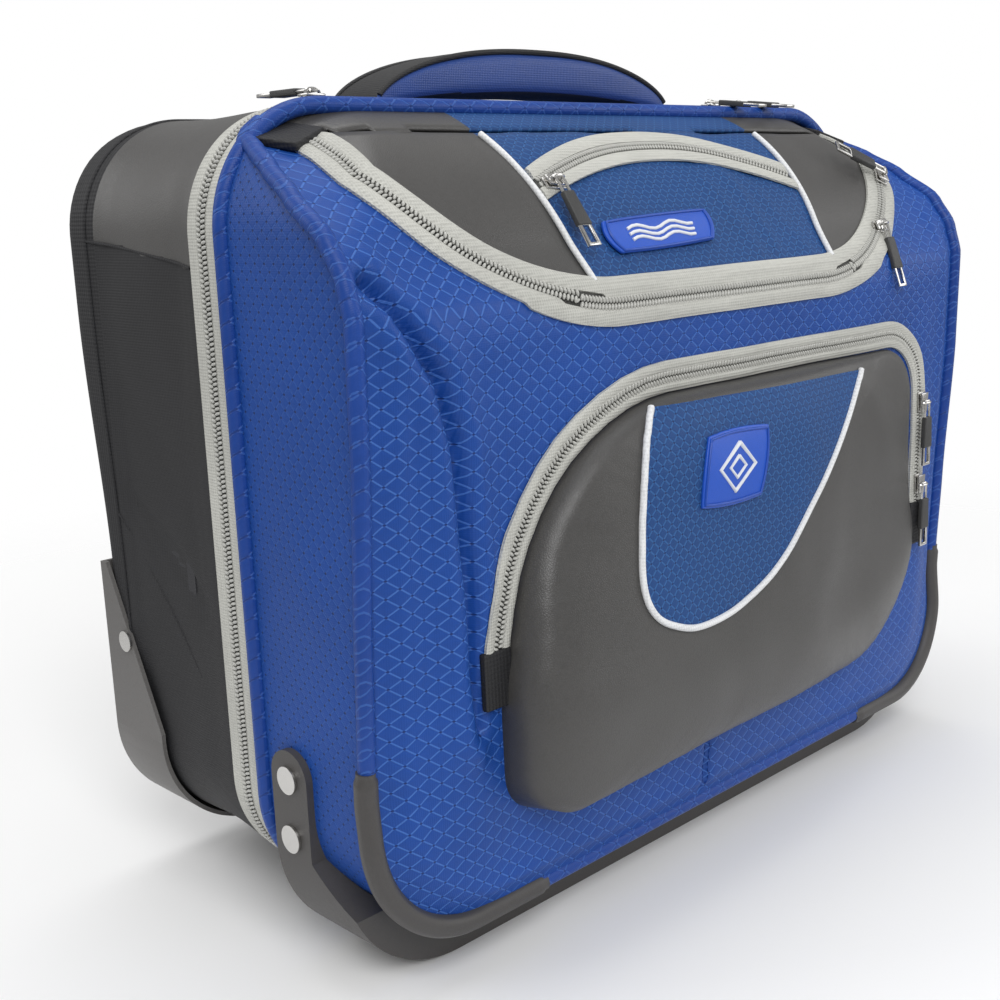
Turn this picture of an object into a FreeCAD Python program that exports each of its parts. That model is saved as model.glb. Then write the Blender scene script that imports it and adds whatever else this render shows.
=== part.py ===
"""Rolling laptop case: a soft-sided case in two zipped halves, with a trolley handle, two wheels and a foot bar.

Frame: +Z up, the front (pocket side) faces -Y, X runs across the case. Origin on the floor, under the
middle of the case. Millimetres.
"""
import FreeCAD, Part
import math
import os

import Sketcher

App = FreeCAD
Vec = App.Vector

doc = App.newDocument("rolling_laptop_case")
sheet = doc.addObject("Spreadsheet::Sheet", "params")

# Driving dimensions, in millimetres and degrees.
SIZES = {
    # the case
    "case_width": 430, "case_height": 331, "corner_radius": 50, "ground_gap": 25,
    "split_y": -5, "front_depth": 80, "zip_band": 20, "rear_depth": 97,
    "shell_wall": 3, "seam_gap": 0.5, "cloth_gap": 0.3,
    "shoulder_drop": 81, "shoulder_radius": 122.7,
    # the zip that closes the two halves
    "tape_width": 7, "tape_thick": 2.5, "coil_rise": 1.5,
    # piping
    "piping_radius": 4, "corner_piping_radius": 5, "corner_piping_height": 80, "corner_piping_reach": 125,
    # top flap
    "flap_flat_half": 75, "flap_drop": 84, "flap_arc_radius": 130, "flap_half_width": 181,
    "flap_hinge_drop": 11, "skin_thick": 1.2, "flap_tape_width": 9,
    # front pocket
    "pocket_left": 158, "pocket_right": 170, "pocket_bottom": 65, "pocket_top": 238, "pocket_depth": 31,
    "pocket_split": 140, "pocket_wall": 2.5, "pocket_tape_thick": 2.2,
    # foot bar
    "foot_width": 45, "foot_setback": 15, "strap_width": 24, "strap_thick": 4, "strap_top": 102,
    "foot_corner": 59, "rivet_low": 63, "rivet_high": 89, "rivet_radius": 6, "shank_radius": 2,
    # wheels
    "wheel_radius": 32, "wheel_width": 24, "wheel_x": 137, "wheel_y": 85.5, "hub_radius": 21,
    "axle_radius": 4, "wheel_clearance": 2, "housing_wall": 3.5, "axle_play": 0.05,
    # trolley handle
    "tube_x": 90, "tube_y": 99, "outer_tube_radius": 9, "tube_wall": 0.8, "tube_clearance": 0.2,
    "tube_bottom": 48, "bezel_half": 128, "bezel_depth": 26, "bezel_wall": 2.5, "bezel_height": 27,
    "grip_half": 110, "grip_width": 19, "grip_height": 20, "collar_height": 4, "button_half": 14,
    # carry handle
    "carry_half": 103, "carry_rise": 30, "carry_width": 38, "carry_y": 45, "carry_gap": 6, "carry_lift": 15,
    "strap_leg_x": 92, "strap_leg_thick": 3, "strap_leg_width": 26,
    # corner guards
    "guard_thick": 2, "guard_top": 156, "guard_front": 40,
    # zip sliders and pulls
    "slider_length": 12, "slider_width": 9, "plate_thick": 2.2, "plate_lift": 0.8, "bail_height": 5.4,
    "bail_radius": 0.9, "post_thick": 1.2, "eye_radius": 2.3, "eye_width": 3, "bail_play": 0.3,
    "neck_length": 8, "neck_thick": 1.6, "sleeve_length": 17, "sleeve_width": 8, "sleeve_thick": 2.8,
    "tip_length": 10, "tip_window": 4,
}
for row, (alias, number) in enumerate(SIZES.items(), start=1):
    sheet.set(f"A{row}", alias)
    sheet.set(f"B{row}", str(number))
    sheet.setAlias(f"B{row}", alias)
doc.recompute()

pieces = {}  # node name -> document object

# Places that several pieces share, as expressions on the sheet.
P = "params."
HALF_W = "params.case_width/2"
FLOOR_Z = "params.ground_gap"
TOP_Z = "(params.ground_gap+params.case_height)"
FRONT_Y = "(params.split_y-params.front_depth)"
BAND_Y = "(params.split_y+params.zip_band)"
REAR_Y = "(params.split_y+params.zip_band+params.rear_depth)"
COIL_Y0 = "(params.split_y+params.tape_width+params.cloth_gap)"
COIL_Y1 = "(params.split_y+params.zip_band-params.tape_width-params.cloth_gap)"


def num(expression):
    """The number that an expression on the sheet comes to."""
    found = sheet.evalExpression(str(expression))
    return float(getattr(found, "Value", found))


# ---------------------------------------------------------------- drawing and solid helpers

PLANES = {"XZ": "XZ_Plane", "YZ": "YZ_Plane", "XY": "XY_Plane"}


def sketch(body, plane, path, height="0"):
    """A closed sketch. path lists (x, y, arc): arc is None for a line to the next point, or (radius, turn)
    for an arc, where turn is +1 anticlockwise and -1 clockwise. height is where the plane stands."""
    drawn = body.newObject("Sketcher::SketchObject", body.Name + "_sketch")
    origin = next(f for f in body.Origin.OriginFeatures if f.Role == PLANES[plane])
    drawn.AttachmentSupport = [(origin, "")]
    drawn.MapMode = "FlatFace"
    sign = "-" if plane == "XZ" else ""
    drawn.setExpression("AttachmentOffset.Base.z", f"{sign}({height})")
    corners = [(num(x), num(y)) for x, y, _ in path]
    ends = []
    for index, (x, y, arc) in enumerate(path):
        start, stop = corners[index], corners[(index + 1) % len(path)]
        if arc is None:
            drawn.addGeometry(Part.LineSegment(Vec(*start, 0), Vec(*stop, 0)), False)
            ends.append((1, 2))
            continue
        radius, turn = num(arc[0]), arc[1]
        middle = Vec((start[0] + stop[0]) / 2, (start[1] + stop[1]) / 2, 0)
        chord = Vec(stop[0] - start[0], stop[1] - start[1], 0)
        side = Vec(-chord.y, chord.x, 0).normalize() * turn
        centre = middle + side * math.sqrt(max(radius ** 2 - (chord.Length / 2) ** 2, 0))
        angles = [math.atan2(p[1] - centre.y, p[0] - centre.x) for p in (start, stop)]
        if turn < 0:
            angles.reverse()
        if angles[1] < angles[0]:
            angles[1] += 2 * math.pi
        circle = Part.Circle(centre, Vec(0, 0, 1), radius)
        drawn.addGeometry(Part.ArcOfCircle(circle, *angles), False)
        ends.append((1, 2) if turn > 0 else (2, 1))
    for index in range(len(path)):
        after = (index + 1) % len(path)
        drawn.addConstraint(Sketcher.Constraint("Coincident", index, ends[index][1], after, ends[after][0]))
    for index, (x, y, arc) in enumerate(path):
        for kind, where, expression in (("DistanceX", corners[index][0], x), ("DistanceY", corners[index][1], y)):
            place = drawn.addConstraint(Sketcher.Constraint(kind, -1, 1, index, ends[index][0], where))
            drawn.setExpression(f"Constraints[{place}]", str(expression))
        if arc is not None:
            place = drawn.addConstraint(Sketcher.Constraint("Radius", index, num(arc[0])))
            drawn.setExpression(f"Constraints[{place}]", str(arc[0]))
    return drawn


def new_body(name):
    body = doc.addObject("PartDesign::Body", name)
    body.Label = name
    return body


def pad(body, plane, path, low, high):
    """Pads a profile between two heights on the plane's axis (Y for XZ, X for YZ, Z for XY)."""
    base = high if plane == "XZ" else low
    feature = body.newObject("PartDesign::Pad", body.Name + "_pad")
    feature.Profile = sketch(body, plane, path, base)
    feature.setExpression("Length", f"({high})-({low})")
    doc.recompute()
    return feature


def pocket(body, plane, path, low, high):
    """Cuts a profile between two heights on the plane's axis."""
    base = low if plane == "XZ" else high
    before = body.Shape.Volume
    feature = body.newObject("PartDesign::Pocket", body.Name + "_pocket")
    feature.Profile = sketch(body, plane, path, base)
    feature.setExpression("Length", f"({high})-({low})")
    doc.recompute()
    assert body.Shape.Volume < before - 1e-3, f"{body.Name}: a pocket cut nothing"
    return feature


def slab(name, plane, path, low, high):
    body = new_body(name)
    pad(body, plane, path, low, high)
    return body


def block(name, x, y, z):
    """A Part::Box from pairs of expressions, low and high, on each axis."""
    made = doc.addObject("Part::Box", name)
    made.Label = name
    for axis, side, (low, high) in zip("xyz", ("Length", "Width", "Height"), (x, y, z)):
        made.setExpression(side, f"({high})-({low})")
        made.setExpression(f"Placement.Base.{axis}", f"{low}")
    return made


TURNS = {"x": App.Rotation(Vec(0, 1, 0), 90), "y": App.Rotation(Vec(1, 0, 0), -90), "z": App.Rotation()}


def rod(name, axis, radius, low, high, across):
    """A Part::Cylinder along an axis, from low to high, with its other two places in across."""
    made = doc.addObject("Part::Cylinder", name)
    made.Label = name
    made.Placement = App.Placement(Vec(0, 0, 0), TURNS[axis])
    made.setExpression("Radius", str(radius))
    made.setExpression("Height", f"({high})-({low})")
    places = dict(zip([a for a in "xyz" if a != axis], across))
    places[axis] = low
    for a, where in places.items():
        made.setExpression(f"Placement.Base.{a}", f"{where}")
    return made


def cut(name, base, *tools):
    """base less its tools, as Part::Cut objects in a row."""
    made = base
    for index, tool in enumerate(tools):
        last = index == len(tools) - 1
        step = doc.addObject("Part::Cut", name if last else f"{name}_step{index}")
        step.Base, step.Tool = made, tool
        made = step
    made.Label = name
    doc.recompute()
    return made


def common(name, first, second):
    made = doc.addObject("Part::Common", name)
    made.Label = name
    made.Base, made.Tool = first, second
    doc.recompute()
    return made


def fuse(name, *parts):
    made = doc.addObject("Part::MultiFuse", name)
    made.Label = name
    made.Shapes = list(parts)
    doc.recompute()
    return made


def group(name, *parts):
    """Separate solids that share one node."""
    made = doc.addObject("Part::Compound", name)
    made.Label = name
    made.Links = list(parts)
    doc.recompute()
    return made


def soften(name, base, radius, picks):
    """Fillets the edges of base that picks(edge) is true for."""
    made = doc.addObject("Part::Fillet", name)
    made.Label = name
    made.Base = base
    doc.recompute()
    chosen = [i + 1 for i, edge in enumerate(base.Shape.Edges) if picks(edge)]
    made.Edges = [(i, num(radius), num(radius)) for i in chosen]
    doc.recompute()
    return made


def mirrored(name, source):
    """The same piece on the other side of the YZ plane."""
    made = doc.addObject("Part::Mirroring", name)
    made.Label = name
    made.Source = source
    made.Normal = Vec(1, 0, 0)
    doc.recompute()
    return made


def keep(node, made):
    made.Label = node
    pieces[node] = made
    return made


def rounded(inset="0"):
    """The case's outline, seen from the front, moved in by inset."""
    across, low, high = f"({HALF_W}-({inset}))", f"({FLOOR_Z}+({inset}))", f"({TOP_Z}-({inset}))"
    turn = f"(params.corner_radius-({inset}))"
    inner_x, inner_low, inner_high = f"({across}-{turn})", f"({low}+{turn})", f"({high}-{turn})"
    return [
        (f"-{inner_x}", low, None), (inner_x, low, (turn, 1)),
        (across, inner_low, None), (across, inner_high, (turn, 1)),
        (inner_x, high, None), (f"-{inner_x}", high, (turn, 1)),
        (f"-{across}", inner_high, None), (f"-{across}", inner_low, (turn, 1)),
    ]


def ring(name, outer, inner, low, high):
    """A band that follows the case's outline, between two insets."""
    body = slab(name, "XZ", rounded(outer), low, high)
    pocket(body, "XZ", rounded(inner), f"{low}-1", f"{high}+1")
    return body


# ---------------------------------------------------------------- front half of the case

def front_form(name, inset, back, grow="0"):
    """The front half's solid form: the outline padded forward, with its shoulder rounded off."""
    body = slab(name, "XZ", rounded(inset), f"{FRONT_Y}+({inset})-({grow})", back)
    low_z, front = f"({TOP_Z}-params.shoulder_drop)", f"({FRONT_Y}+({inset})-({grow}))"
    high_z = f"({TOP_Z}-({inset})+({grow}))"
    shoulder = [
        (f"{front}-5", low_z, None), (front, low_z, (f"(params.shoulder_radius-({inset})+({grow}))", -1)),
        ("params.split_y", high_z, None), ("params.split_y", f"{TOP_Z}+9", None),
        (f"{front}-5", f"{TOP_Z}+9", None),
    ]
    pocket(body, "YZ", shoulder, f"-{HALF_W}-9", f"{HALF_W}+9")
    return body


def flap_outline(grow, hinge_gap):
    """The top flap's outline, seen from the front: straight below, an arc up each side, straight on top."""
    low = f"({TOP_Z}-params.flap_drop-({grow}))"
    turn = f"(params.flap_arc_radius+({grow}))"
    wide = f"(params.flap_half_width+({grow}))"
    reach = f"({wide}-params.flap_flat_half)"
    meet = f"({low}+{turn}-sqrt({turn}*{turn}-{reach}*{reach}))"
    high = f"({TOP_Z}-params.flap_hinge_drop-({hinge_gap}))"
    return [
        ("-params.flap_flat_half", low, None), ("params.flap_flat_half", low, (turn, 1)),
        (wide, meet, None), (wide, high, None), (f"-{wide}", high, None),
        (f"-{wide}", meet, (turn, 1)),
    ]


def flap_prism(name, grow, hinge_gap="params.seam_gap"):
    return slab(name, "XZ", flap_outline(grow, hinge_gap), f"{FRONT_Y}-9", "params.split_y")


outer_form = front_form("front_outer_form", "0", "params.split_y")
inner_form = front_form("front_inner_form", "params.shell_wall", "params.split_y+1")
skin_form = front_form("front_skin_form", "0", "params.split_y", "params.skin_thick")
front_blank = cut("front_blank", outer_form, inner_form)
loose_form = front_form("front_loose_form", "-params.cloth_gap", "params.split_y")
skin = cut("front_skin", skin_form, front_form("front_skin_gap", "0", "params.split_y", "params.cloth_gap"))


def strap_rivet(name, height):
    """A blind rivet through the foot bar's strap and the case's side: head, shank and inner flange."""
    spot = (f"params.split_y-params.foot_setback-params.strap_width/2", height)
    face = f"({HALF_W}+params.strap_thick)"
    inside = f"({HALF_W}-params.shell_wall)"
    head = rod(name + "_head", "x", "params.rivet_radius", face, f"{face}+1.5", spot)
    shank = rod(name + "_shank", "x", "params.shank_radius", f"{inside}-4.6", f"{face}+0.5", spot)
    flange = rod(name + "_flange", "x", "params.rivet_radius-2", f"{inside}-4.6", f"{inside}-3.4", spot)
    return fuse(name, head, shank, flange), shank


rivet_low, shank_low = strap_rivet("foot_rivet_low", "params.rivet_low")
rivet_high, shank_high = strap_rivet("foot_rivet_high", "params.rivet_high")
right_shanks = group("right_shanks", shank_low, shank_high)
left_shanks = mirrored("left_shanks", right_shanks)

front_shell = keep("front_shell", cut("front_shell", front_blank, flap_prism("flap_window", "0", "0"),
                                      right_shanks, left_shanks))
keep("front_divider", slab("front_divider", "XZ", rounded("params.shell_wall+1.9"),
                           "params.split_y-4", "params.split_y-2"))
keep("main_zip_tape_front", ring("main_zip_tape_front", "params.seam_gap", "params.seam_gap+params.tape_thick",
                                 "params.split_y", "params.split_y+params.tape_width"))


def outer_loop(edge):
    """True for the edges that run round outside the case's outline."""
    half, turn = num(HALF_W), num("params.corner_radius")
    point = edge.valueAt((edge.FirstParameter + edge.LastParameter) / 2)
    across = max(abs(point.x) - (half - turn), 0)
    middle = num(FLOOR_Z) + num("params.case_height") / 2
    upward = max(abs(point.z - middle) - (num("params.case_height") / 2 - turn), 0)
    beyond = math.hypot(across, upward) if across and upward else max(across, upward)
    along_y = abs(edge.Vertexes[0].Y - edge.Vertexes[-1].Y) > 1e-3
    return beyond > turn + 1 and not along_y


cord_back = "(params.split_y-2*params.piping_radius)"
rear_cord = ring("rear_cord", "-params.piping_radius", "-params.cloth_gap", cord_back, "params.split_y")
keep("rear_piping", soften("rear_piping", rear_cord, "params.piping_radius-0.6", outer_loop))


def edge_cord(name, radius):
    """The cord along the edge where the front half's sides meet its front and shoulder."""
    big = front_form(name + "_big", f"-({radius})", cord_back)
    low = front_form(name + "_low", f"-({radius})", cord_back, f"-2*({radius})")
    middle = slab(name + "_middle", "XZ", rounded(radius), f"{FRONT_Y}-20", "params.split_y+1")
    return cut(name + "_cord", big, low, middle, loose_form)


zone_right = block("zone_right", ("params.corner_piping_reach", f"{HALF_W}+9"), (f"{FRONT_Y}-9", "params.split_y-12"),
                   ("0", f"{FLOOR_Z}+params.corner_piping_height"))
zone = group("corner_zone", zone_right, mirrored("zone_left", zone_right))
keep("front_piping", cut("front_piping", edge_cord("cloth", "params.piping_radius"), zone))
keep("corner_piping", common("corner_piping", edge_cord("moulded", "params.corner_piping_radius"), zone))

# foot bar: its front view follows the case's bottom, and its side view narrows to a strap at each end
foot_out, foot_turn = f"({HALF_W}+params.strap_thick)", "params.foot_corner"
hug, hug_out, hug_low = "(params.corner_radius+params.cloth_gap)", f"({HALF_W}+params.cloth_gap)", f"({FLOOR_Z}-params.cloth_gap)"
hug_x, hug_z = f"({HALF_W}-params.corner_radius)", f"({FLOOR_Z}+params.corner_radius)"
foot_flat = f"({foot_out}-{foot_turn})"
foot_front = [
    (f"-{foot_flat}", "0", None), (foot_flat, "0", (foot_turn, 1)),
    (foot_out, foot_turn, None), (foot_out, "params.strap_top", None), (hug_out, "params.strap_top", None),
    (hug_out, hug_z, (hug, -1)), (hug_x, hug_low, None), (f"-{hug_x}", hug_low, (hug, -1)),
    (f"-{hug_out}", hug_z, None), (f"-{hug_out}", "params.strap_top", None), (f"-{foot_out}", "params.strap_top", None),
    (f"-{foot_out}", foot_turn, (foot_turn, 1)),
]
foot_back = "(params.split_y-params.foot_setback)"
strap_front = f"({foot_back}-params.strap_width)"
foot_side = [
    (f"{foot_back}-params.foot_width", "0", None), (foot_back, "0", None),
    (foot_back, "params.strap_top-params.strap_width/2", ("params.strap_width/2+0.01", 1)),
    (strap_front, "params.strap_top-params.strap_width/2", None), (strap_front, "params.rivet_low-8", None),
    (f"{foot_back}-params.foot_width", f"{FLOOR_Z}+10", None),
]
foot_profile = slab("foot_profile", "XZ", foot_front, f"{foot_back}-params.foot_width-2", f"{foot_back}+2")
foot_sides = slab("foot_sides", "YZ", foot_side, f"-{foot_out}-2", f"{foot_out}+2")
foot_solid = common("foot_solid", foot_profile, foot_sides)
bottom_cord = group("bottom_cord", pieces["rear_piping"], pieces["corner_piping"])
keep("foot_bar", cut("foot_bar", foot_solid, right_shanks, left_shanks, bottom_cord))
keep("foot_rivets", group("foot_rivets", rivet_low, rivet_high, mirrored("foot_rivet_low_left", rivet_low),
                          mirrored("foot_rivet_high_left", rivet_high)))

# ---------------------------------------------------------------- top flap

flap_solid = common("flap_solid", front_blank, flap_prism("flap_inner_prism", "-params.seam_gap"))
keep("flap_panel", flap_solid)


def skin_band(name, outer, inner):
    """A strip of tape on the outside of the shoulder, between two growths of the flap's outline."""
    band = cut(name + "_band", flap_prism(name + "_outer", outer), flap_prism(name + "_inner", inner))
    return common(name, skin, band)


keep("flap_zip_tape_outer", skin_band("flap_tape_out", "params.flap_tape_width", "params.seam_gap"))
keep("flap_zip_tape_inner", skin_band("flap_tape_in", "-params.seam_gap", "-params.flap_tape_width"))


def skin_patch(name, path):
    """A flat piece sewn on the shoulder, cut from the skin by a prism drawn in the front view."""
    return common(name, skin, slab(name + "_prism", "XZ", path, f"{FRONT_Y}-9", "params.split_y"))


def piping_strip(side):
    """One white piping on the flap, from near the hinge to the zip, as its front view."""
    top_x, low_x, wide = f"({side}*98)", f"({side}*88)", "1.8"
    high = f"({TOP_Z}-params.flap_hinge_drop-params.seam_gap-1)"
    low = f"({TOP_Z}-params.flap_drop+params.flap_tape_width+2)"
    return [(f"{low_x}-{wide}", low, None), (f"{low_x}+{wide}", low, None), (f"{top_x}+{wide}", high, None),
            (f"{top_x}-{wide}", high, None)]


keep("flap_piping", group("flap_piping", skin_patch("flap_piping_left", piping_strip(-1)),
                          skin_patch("flap_piping_right", piping_strip(1))))

ARC_HALF, ARC_LOW, ARC_RISE = "92", f"({TOP_Z}-25)", "12"
arc_radius = f"({ARC_HALF}*{ARC_HALF}+{ARC_RISE}*{ARC_RISE})/(2*{ARC_RISE})"
top_zip_path = [
    (f"-{ARC_HALF}", f"{ARC_LOW}-9", ("(" + arc_radius + ")", -1)), (ARC_HALF, f"{ARC_LOW}-9", None),
    (ARC_HALF, f"{ARC_LOW}", ("(" + arc_radius + ")", 1)), (f"-{ARC_HALF}", f"{ARC_LOW}", None),
]
keep("top_pocket_zip", skin_patch("top_pocket_zip", top_zip_path))
badge_path = [("-66", f"{TOP_Z}-66", None), ("6", f"{TOP_Z}-63", None), ("10", f"{TOP_Z}-48", None),
              ("-70", f"{TOP_Z}-51", None)]
keep("flap_badge", skin_patch("flap_badge", badge_path))

# ---------------------------------------------------------------- front pocket


def pocket_outline(inset="0"):
    """The front pocket's outline, seen from the front: a slanted upper left corner, round at the other three."""
    left, right = f"(params.pocket_left-({inset}))", f"(params.pocket_right-({inset}))"
    low, high = f"(params.pocket_bottom+({inset}))", f"(params.pocket_top-({inset}))"
    small, large, slant = f"(22-({inset}))", f"(52-({inset}))", f"(108-({inset}))"
    corner = f"(34-({inset}))"
    return [
        (f"-{left}+{small}", low, None), (f"{right}-{large}", low, (large, 1)),
        (right, f"{low}+{large}", None), (right, f"{high}-{corner}", (corner, 1)),
        (f"{right}-{corner}", high, None), (f"-{left}+{slant}", high, (slant, 1)),
        (f"-{left}", f"{high}-{slant}", None), (f"-{left}", f"{low}+{small}", (small, 1)),
    ]


POCKET_FACE = f"({FRONT_Y}-params.pocket_depth)"
TAPE_BACK = f"({FRONT_Y}-params.pocket_tape_thick-params.cloth_gap)"
pocket_outer = slab("pocket_outer", "XZ", pocket_outline("6"), POCKET_FACE, f"{FRONT_Y}")
pocket_round = soften("pocket_round", pocket_outer, "12",
                      lambda edge: all(abs(v.Point.y - num(POCKET_FACE)) < 1e-3 for v in edge.Vertexes))
pocket_inner = slab("pocket_inner", "XZ", pocket_outline("6+params.pocket_wall"),
                    f"{POCKET_FACE}+params.pocket_wall", f"{FRONT_Y}+1")
pocket_core = soften("pocket_core", pocket_inner, "9",
                     lambda edge: all(abs(v.Point.y - num(POCKET_FACE) - num("params.pocket_wall")) < 1e-3
                                      for v in edge.Vertexes))
pocket_blank = cut("pocket_blank", pocket_round, pocket_core)
above = block("pocket_above", (f"-{HALF_W}", HALF_W), (f"{POCKET_FACE}-5", TAPE_BACK),
              ("params.pocket_split+params.seam_gap/2", TOP_Z))
under = block("pocket_under", (f"-{HALF_W}", HALF_W), (f"{POCKET_FACE}-5", f"{FRONT_Y}"),
              ("0", "params.pocket_split-params.seam_gap/2"))
keep("pocket_upper", common("pocket_upper", pocket_blank, above))
keep("pocket_lower", common("pocket_lower", pocket_blank, under))
tape_ring = slab("pocket_tape_ring", "XZ", pocket_outline("-6"), f"{FRONT_Y}-params.pocket_tape_thick", FRONT_Y)
pocket(tape_ring, "XZ", pocket_outline("6-params.cloth_gap"), f"{FRONT_Y}-5", f"{FRONT_Y}+1")
keep("pocket_zip_tape", common("pocket_zip_tape", tape_ring, block(
    "pocket_tape_above", (f"-{HALF_W}", HALF_W), (f"{FRONT_Y}-5", FRONT_Y), ("params.pocket_split", TOP_Z))))
badge_face = f"({POCKET_FACE}-1.5)"
keep("pocket_badge", slab("pocket_badge", "XZ", [
    ("-54", "181", None), ("-8", "179.5", None), ("2", "213", None), ("-45", "213.5", None)], badge_face, POCKET_FACE))

# ---------------------------------------------------------------- rear half of the case

hinge_half = f"({HALF_W}-params.corner_radius)"
hinge_zone = block("hinge_zone", (f"-{hinge_half}", hinge_half), (f"{COIL_Y0}-3", f"{BAND_Y}+3"), ("0", f"{FLOOR_Z}+9"))
coil_ring = ring("coil_ring", "-params.coil_rise", "params.seam_gap+params.tape_thick", COIL_Y0, COIL_Y1)
rear_ring = ring("rear_ring", "params.seam_gap", "params.seam_gap+params.tape_thick", COIL_Y1, BAND_Y)
keep("main_zip_coil", cut("main_zip_coil", coil_ring, hinge_zone))
keep("main_zip_tape_rear", cut("main_zip_tape_rear", rear_ring, hinge_zone))
keep("bottom_hinge_strip", block("bottom_hinge_strip", (f"-{hinge_half}", hinge_half), (COIL_Y0, BAND_Y),
                                 (FLOOR_Z, f"{FLOOR_Z}+params.tape_thick")))

rear_body = slab("rear_body", "XZ", rounded(), BAND_Y, REAR_Y)
rear_round = soften("rear_round", rear_body, "8",
                    lambda edge: all(abs(v.Point.y - num(REAR_Y)) < 1e-3 for v in edge.Vertexes))
rear_room = slab("rear_room", "XZ", rounded("params.shell_wall"), f"{BAND_Y}-1", f"{REAR_Y}-params.shell_wall")
housing_half = "(params.wheel_width/2+params.wheel_clearance+params.housing_wall)"
well_front = "(params.wheel_y-params.wheel_radius-2*params.wheel_clearance-params.housing_wall)"
well_top = "(params.wheel_radius*2+params.wheel_clearance+params.housing_wall)"
well_x = (f"params.wheel_x-{housing_half}", f"params.wheel_x+{housing_half}")
well_right = block("well_right", (f"{well_x[0]}", f"{well_x[1]}"), (well_front, f"{REAR_Y}+9"), ("0", well_top))
bezel_y = (f"{REAR_Y}-params.bezel_depth", f"{REAR_Y}+9")
bezel_z = (f"{TOP_Z}+2-params.bezel_height", f"{TOP_Z}+2")
bezel_notch = block("bezel_notch", ("-params.bezel_half", "params.bezel_half"), bezel_y, (bezel_z[0], f"{TOP_Z}+9"))
leg_x = ("params.strap_leg_x-params.strap_leg_thick/2-params.cloth_gap",
         "params.strap_leg_x+params.strap_leg_thick/2+params.cloth_gap")
leg_y = ("params.carry_y-params.strap_leg_width/2", "params.carry_y+params.strap_leg_width/2")
leg_slot = block("leg_slot", leg_x, (f"{leg_y[0]}-params.cloth_gap", f"{leg_y[1]}+params.cloth_gap"),
                 (f"{TOP_Z}-9", f"{TOP_Z}+9"))
rear_tools = group("rear_tools", well_right, mirrored("well_left", well_right), bezel_notch, leg_slot,
                   mirrored("leg_slot_left", leg_slot))
rear_shell = keep("rear_shell", cut("rear_shell", rear_round, rear_room, rear_tools))

board_front = f"({bezel_y[0]}-2.5)"
keep("back_board", slab("back_board", "XZ", [
    (f"-{HALF_W}+params.shell_wall+params.cloth_gap", f"{well_top}+params.cloth_gap", None),
    (f"{HALF_W}-params.shell_wall-params.cloth_gap", f"{well_top}+params.cloth_gap", None),
    (f"{HALF_W}-params.shell_wall-params.cloth_gap", f"{TOP_Z}-params.corner_radius", None),
    ("params.bezel_half", f"{bezel_z[0]}-params.cloth_gap", None),
    ("-params.bezel_half", f"{bezel_z[0]}-params.cloth_gap", None),
    (f"-{HALF_W}+params.shell_wall+params.cloth_gap", f"{TOP_Z}-params.corner_radius", None),
], board_front, f"{board_front}+2.5"))
inside_low = f"({FLOOR_Z}+params.shell_wall)"
divider_y = f"({well_front}-7)"
keep("laptop_divider", slab("laptop_divider", "XZ", [
    (f"-{HALF_W}+params.corner_radius", f"{inside_low}+params.cloth_gap", None),
    (f"{HALF_W}-params.corner_radius", f"{inside_low}+params.cloth_gap", None),
    (f"{HALF_W}-params.shell_wall-params.cloth_gap", f"{FLOOR_Z}+params.corner_radius", None),
    (f"{HALF_W}-params.shell_wall-params.cloth_gap", f"{TOP_Z}-params.corner_radius-30", None),
    (f"-{HALF_W}+params.shell_wall+params.cloth_gap", f"{TOP_Z}-params.corner_radius-30", None),
    (f"-{HALF_W}+params.shell_wall+params.cloth_gap", f"{FLOOR_Z}+params.corner_radius", None),
], divider_y, f"{divider_y}+6"))

# corner guards: a moulded skin on the lower rear corners, cut on a slant
guard_form = slab("guard_form", "XZ", rounded("-params.guard_thick"), BAND_Y, f"{REAR_Y}+params.guard_thick")
guard_skin = cut("guard_skin", guard_form, slab("guard_room", "XZ", rounded(), f"{BAND_Y}-1", REAR_Y))
guard_slant = slab("guard_slant", "YZ", [
    (f"{REAR_Y}-params.guard_front", "15", None), (f"{REAR_Y}+9", "15", None),
    (f"{REAR_Y}+9", "params.guard_top", None), (f"{REAR_Y}-3", "params.guard_top", None),
    (f"{REAR_Y}-params.guard_front", f"{FLOOR_Z}+54", None),
], f"{well_x[1]}+params.cloth_gap", f"{HALF_W}+9")
guard_spot = (f"{REAR_Y}-16", "params.guard_top-36")
guard_head = rod("guard_rivet_head", "x", "params.rivet_radius-1", f"{HALF_W}+params.guard_thick",
                 f"{HALF_W}+params.guard_thick+1.3", guard_spot)
guard_shank = rod("guard_rivet_shank", "x", "params.shank_radius", f"{HALF_W}", f"{HALF_W}+params.guard_thick+0.5",
                  guard_spot)
guard_rivet = fuse("guard_rivet", guard_head, guard_shank)
guard_right = cut("corner_guard_right", common("guard_blank", guard_skin, guard_slant), guard_shank)
keep("corner_guard_right", guard_right)
keep("corner_guard_left", mirrored("corner_guard_left", guard_right))
keep("guard_rivets", group("guard_rivets", guard_rivet, mirrored("guard_rivet_left", guard_rivet)))

# ---------------------------------------------------------------- wheels

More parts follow.
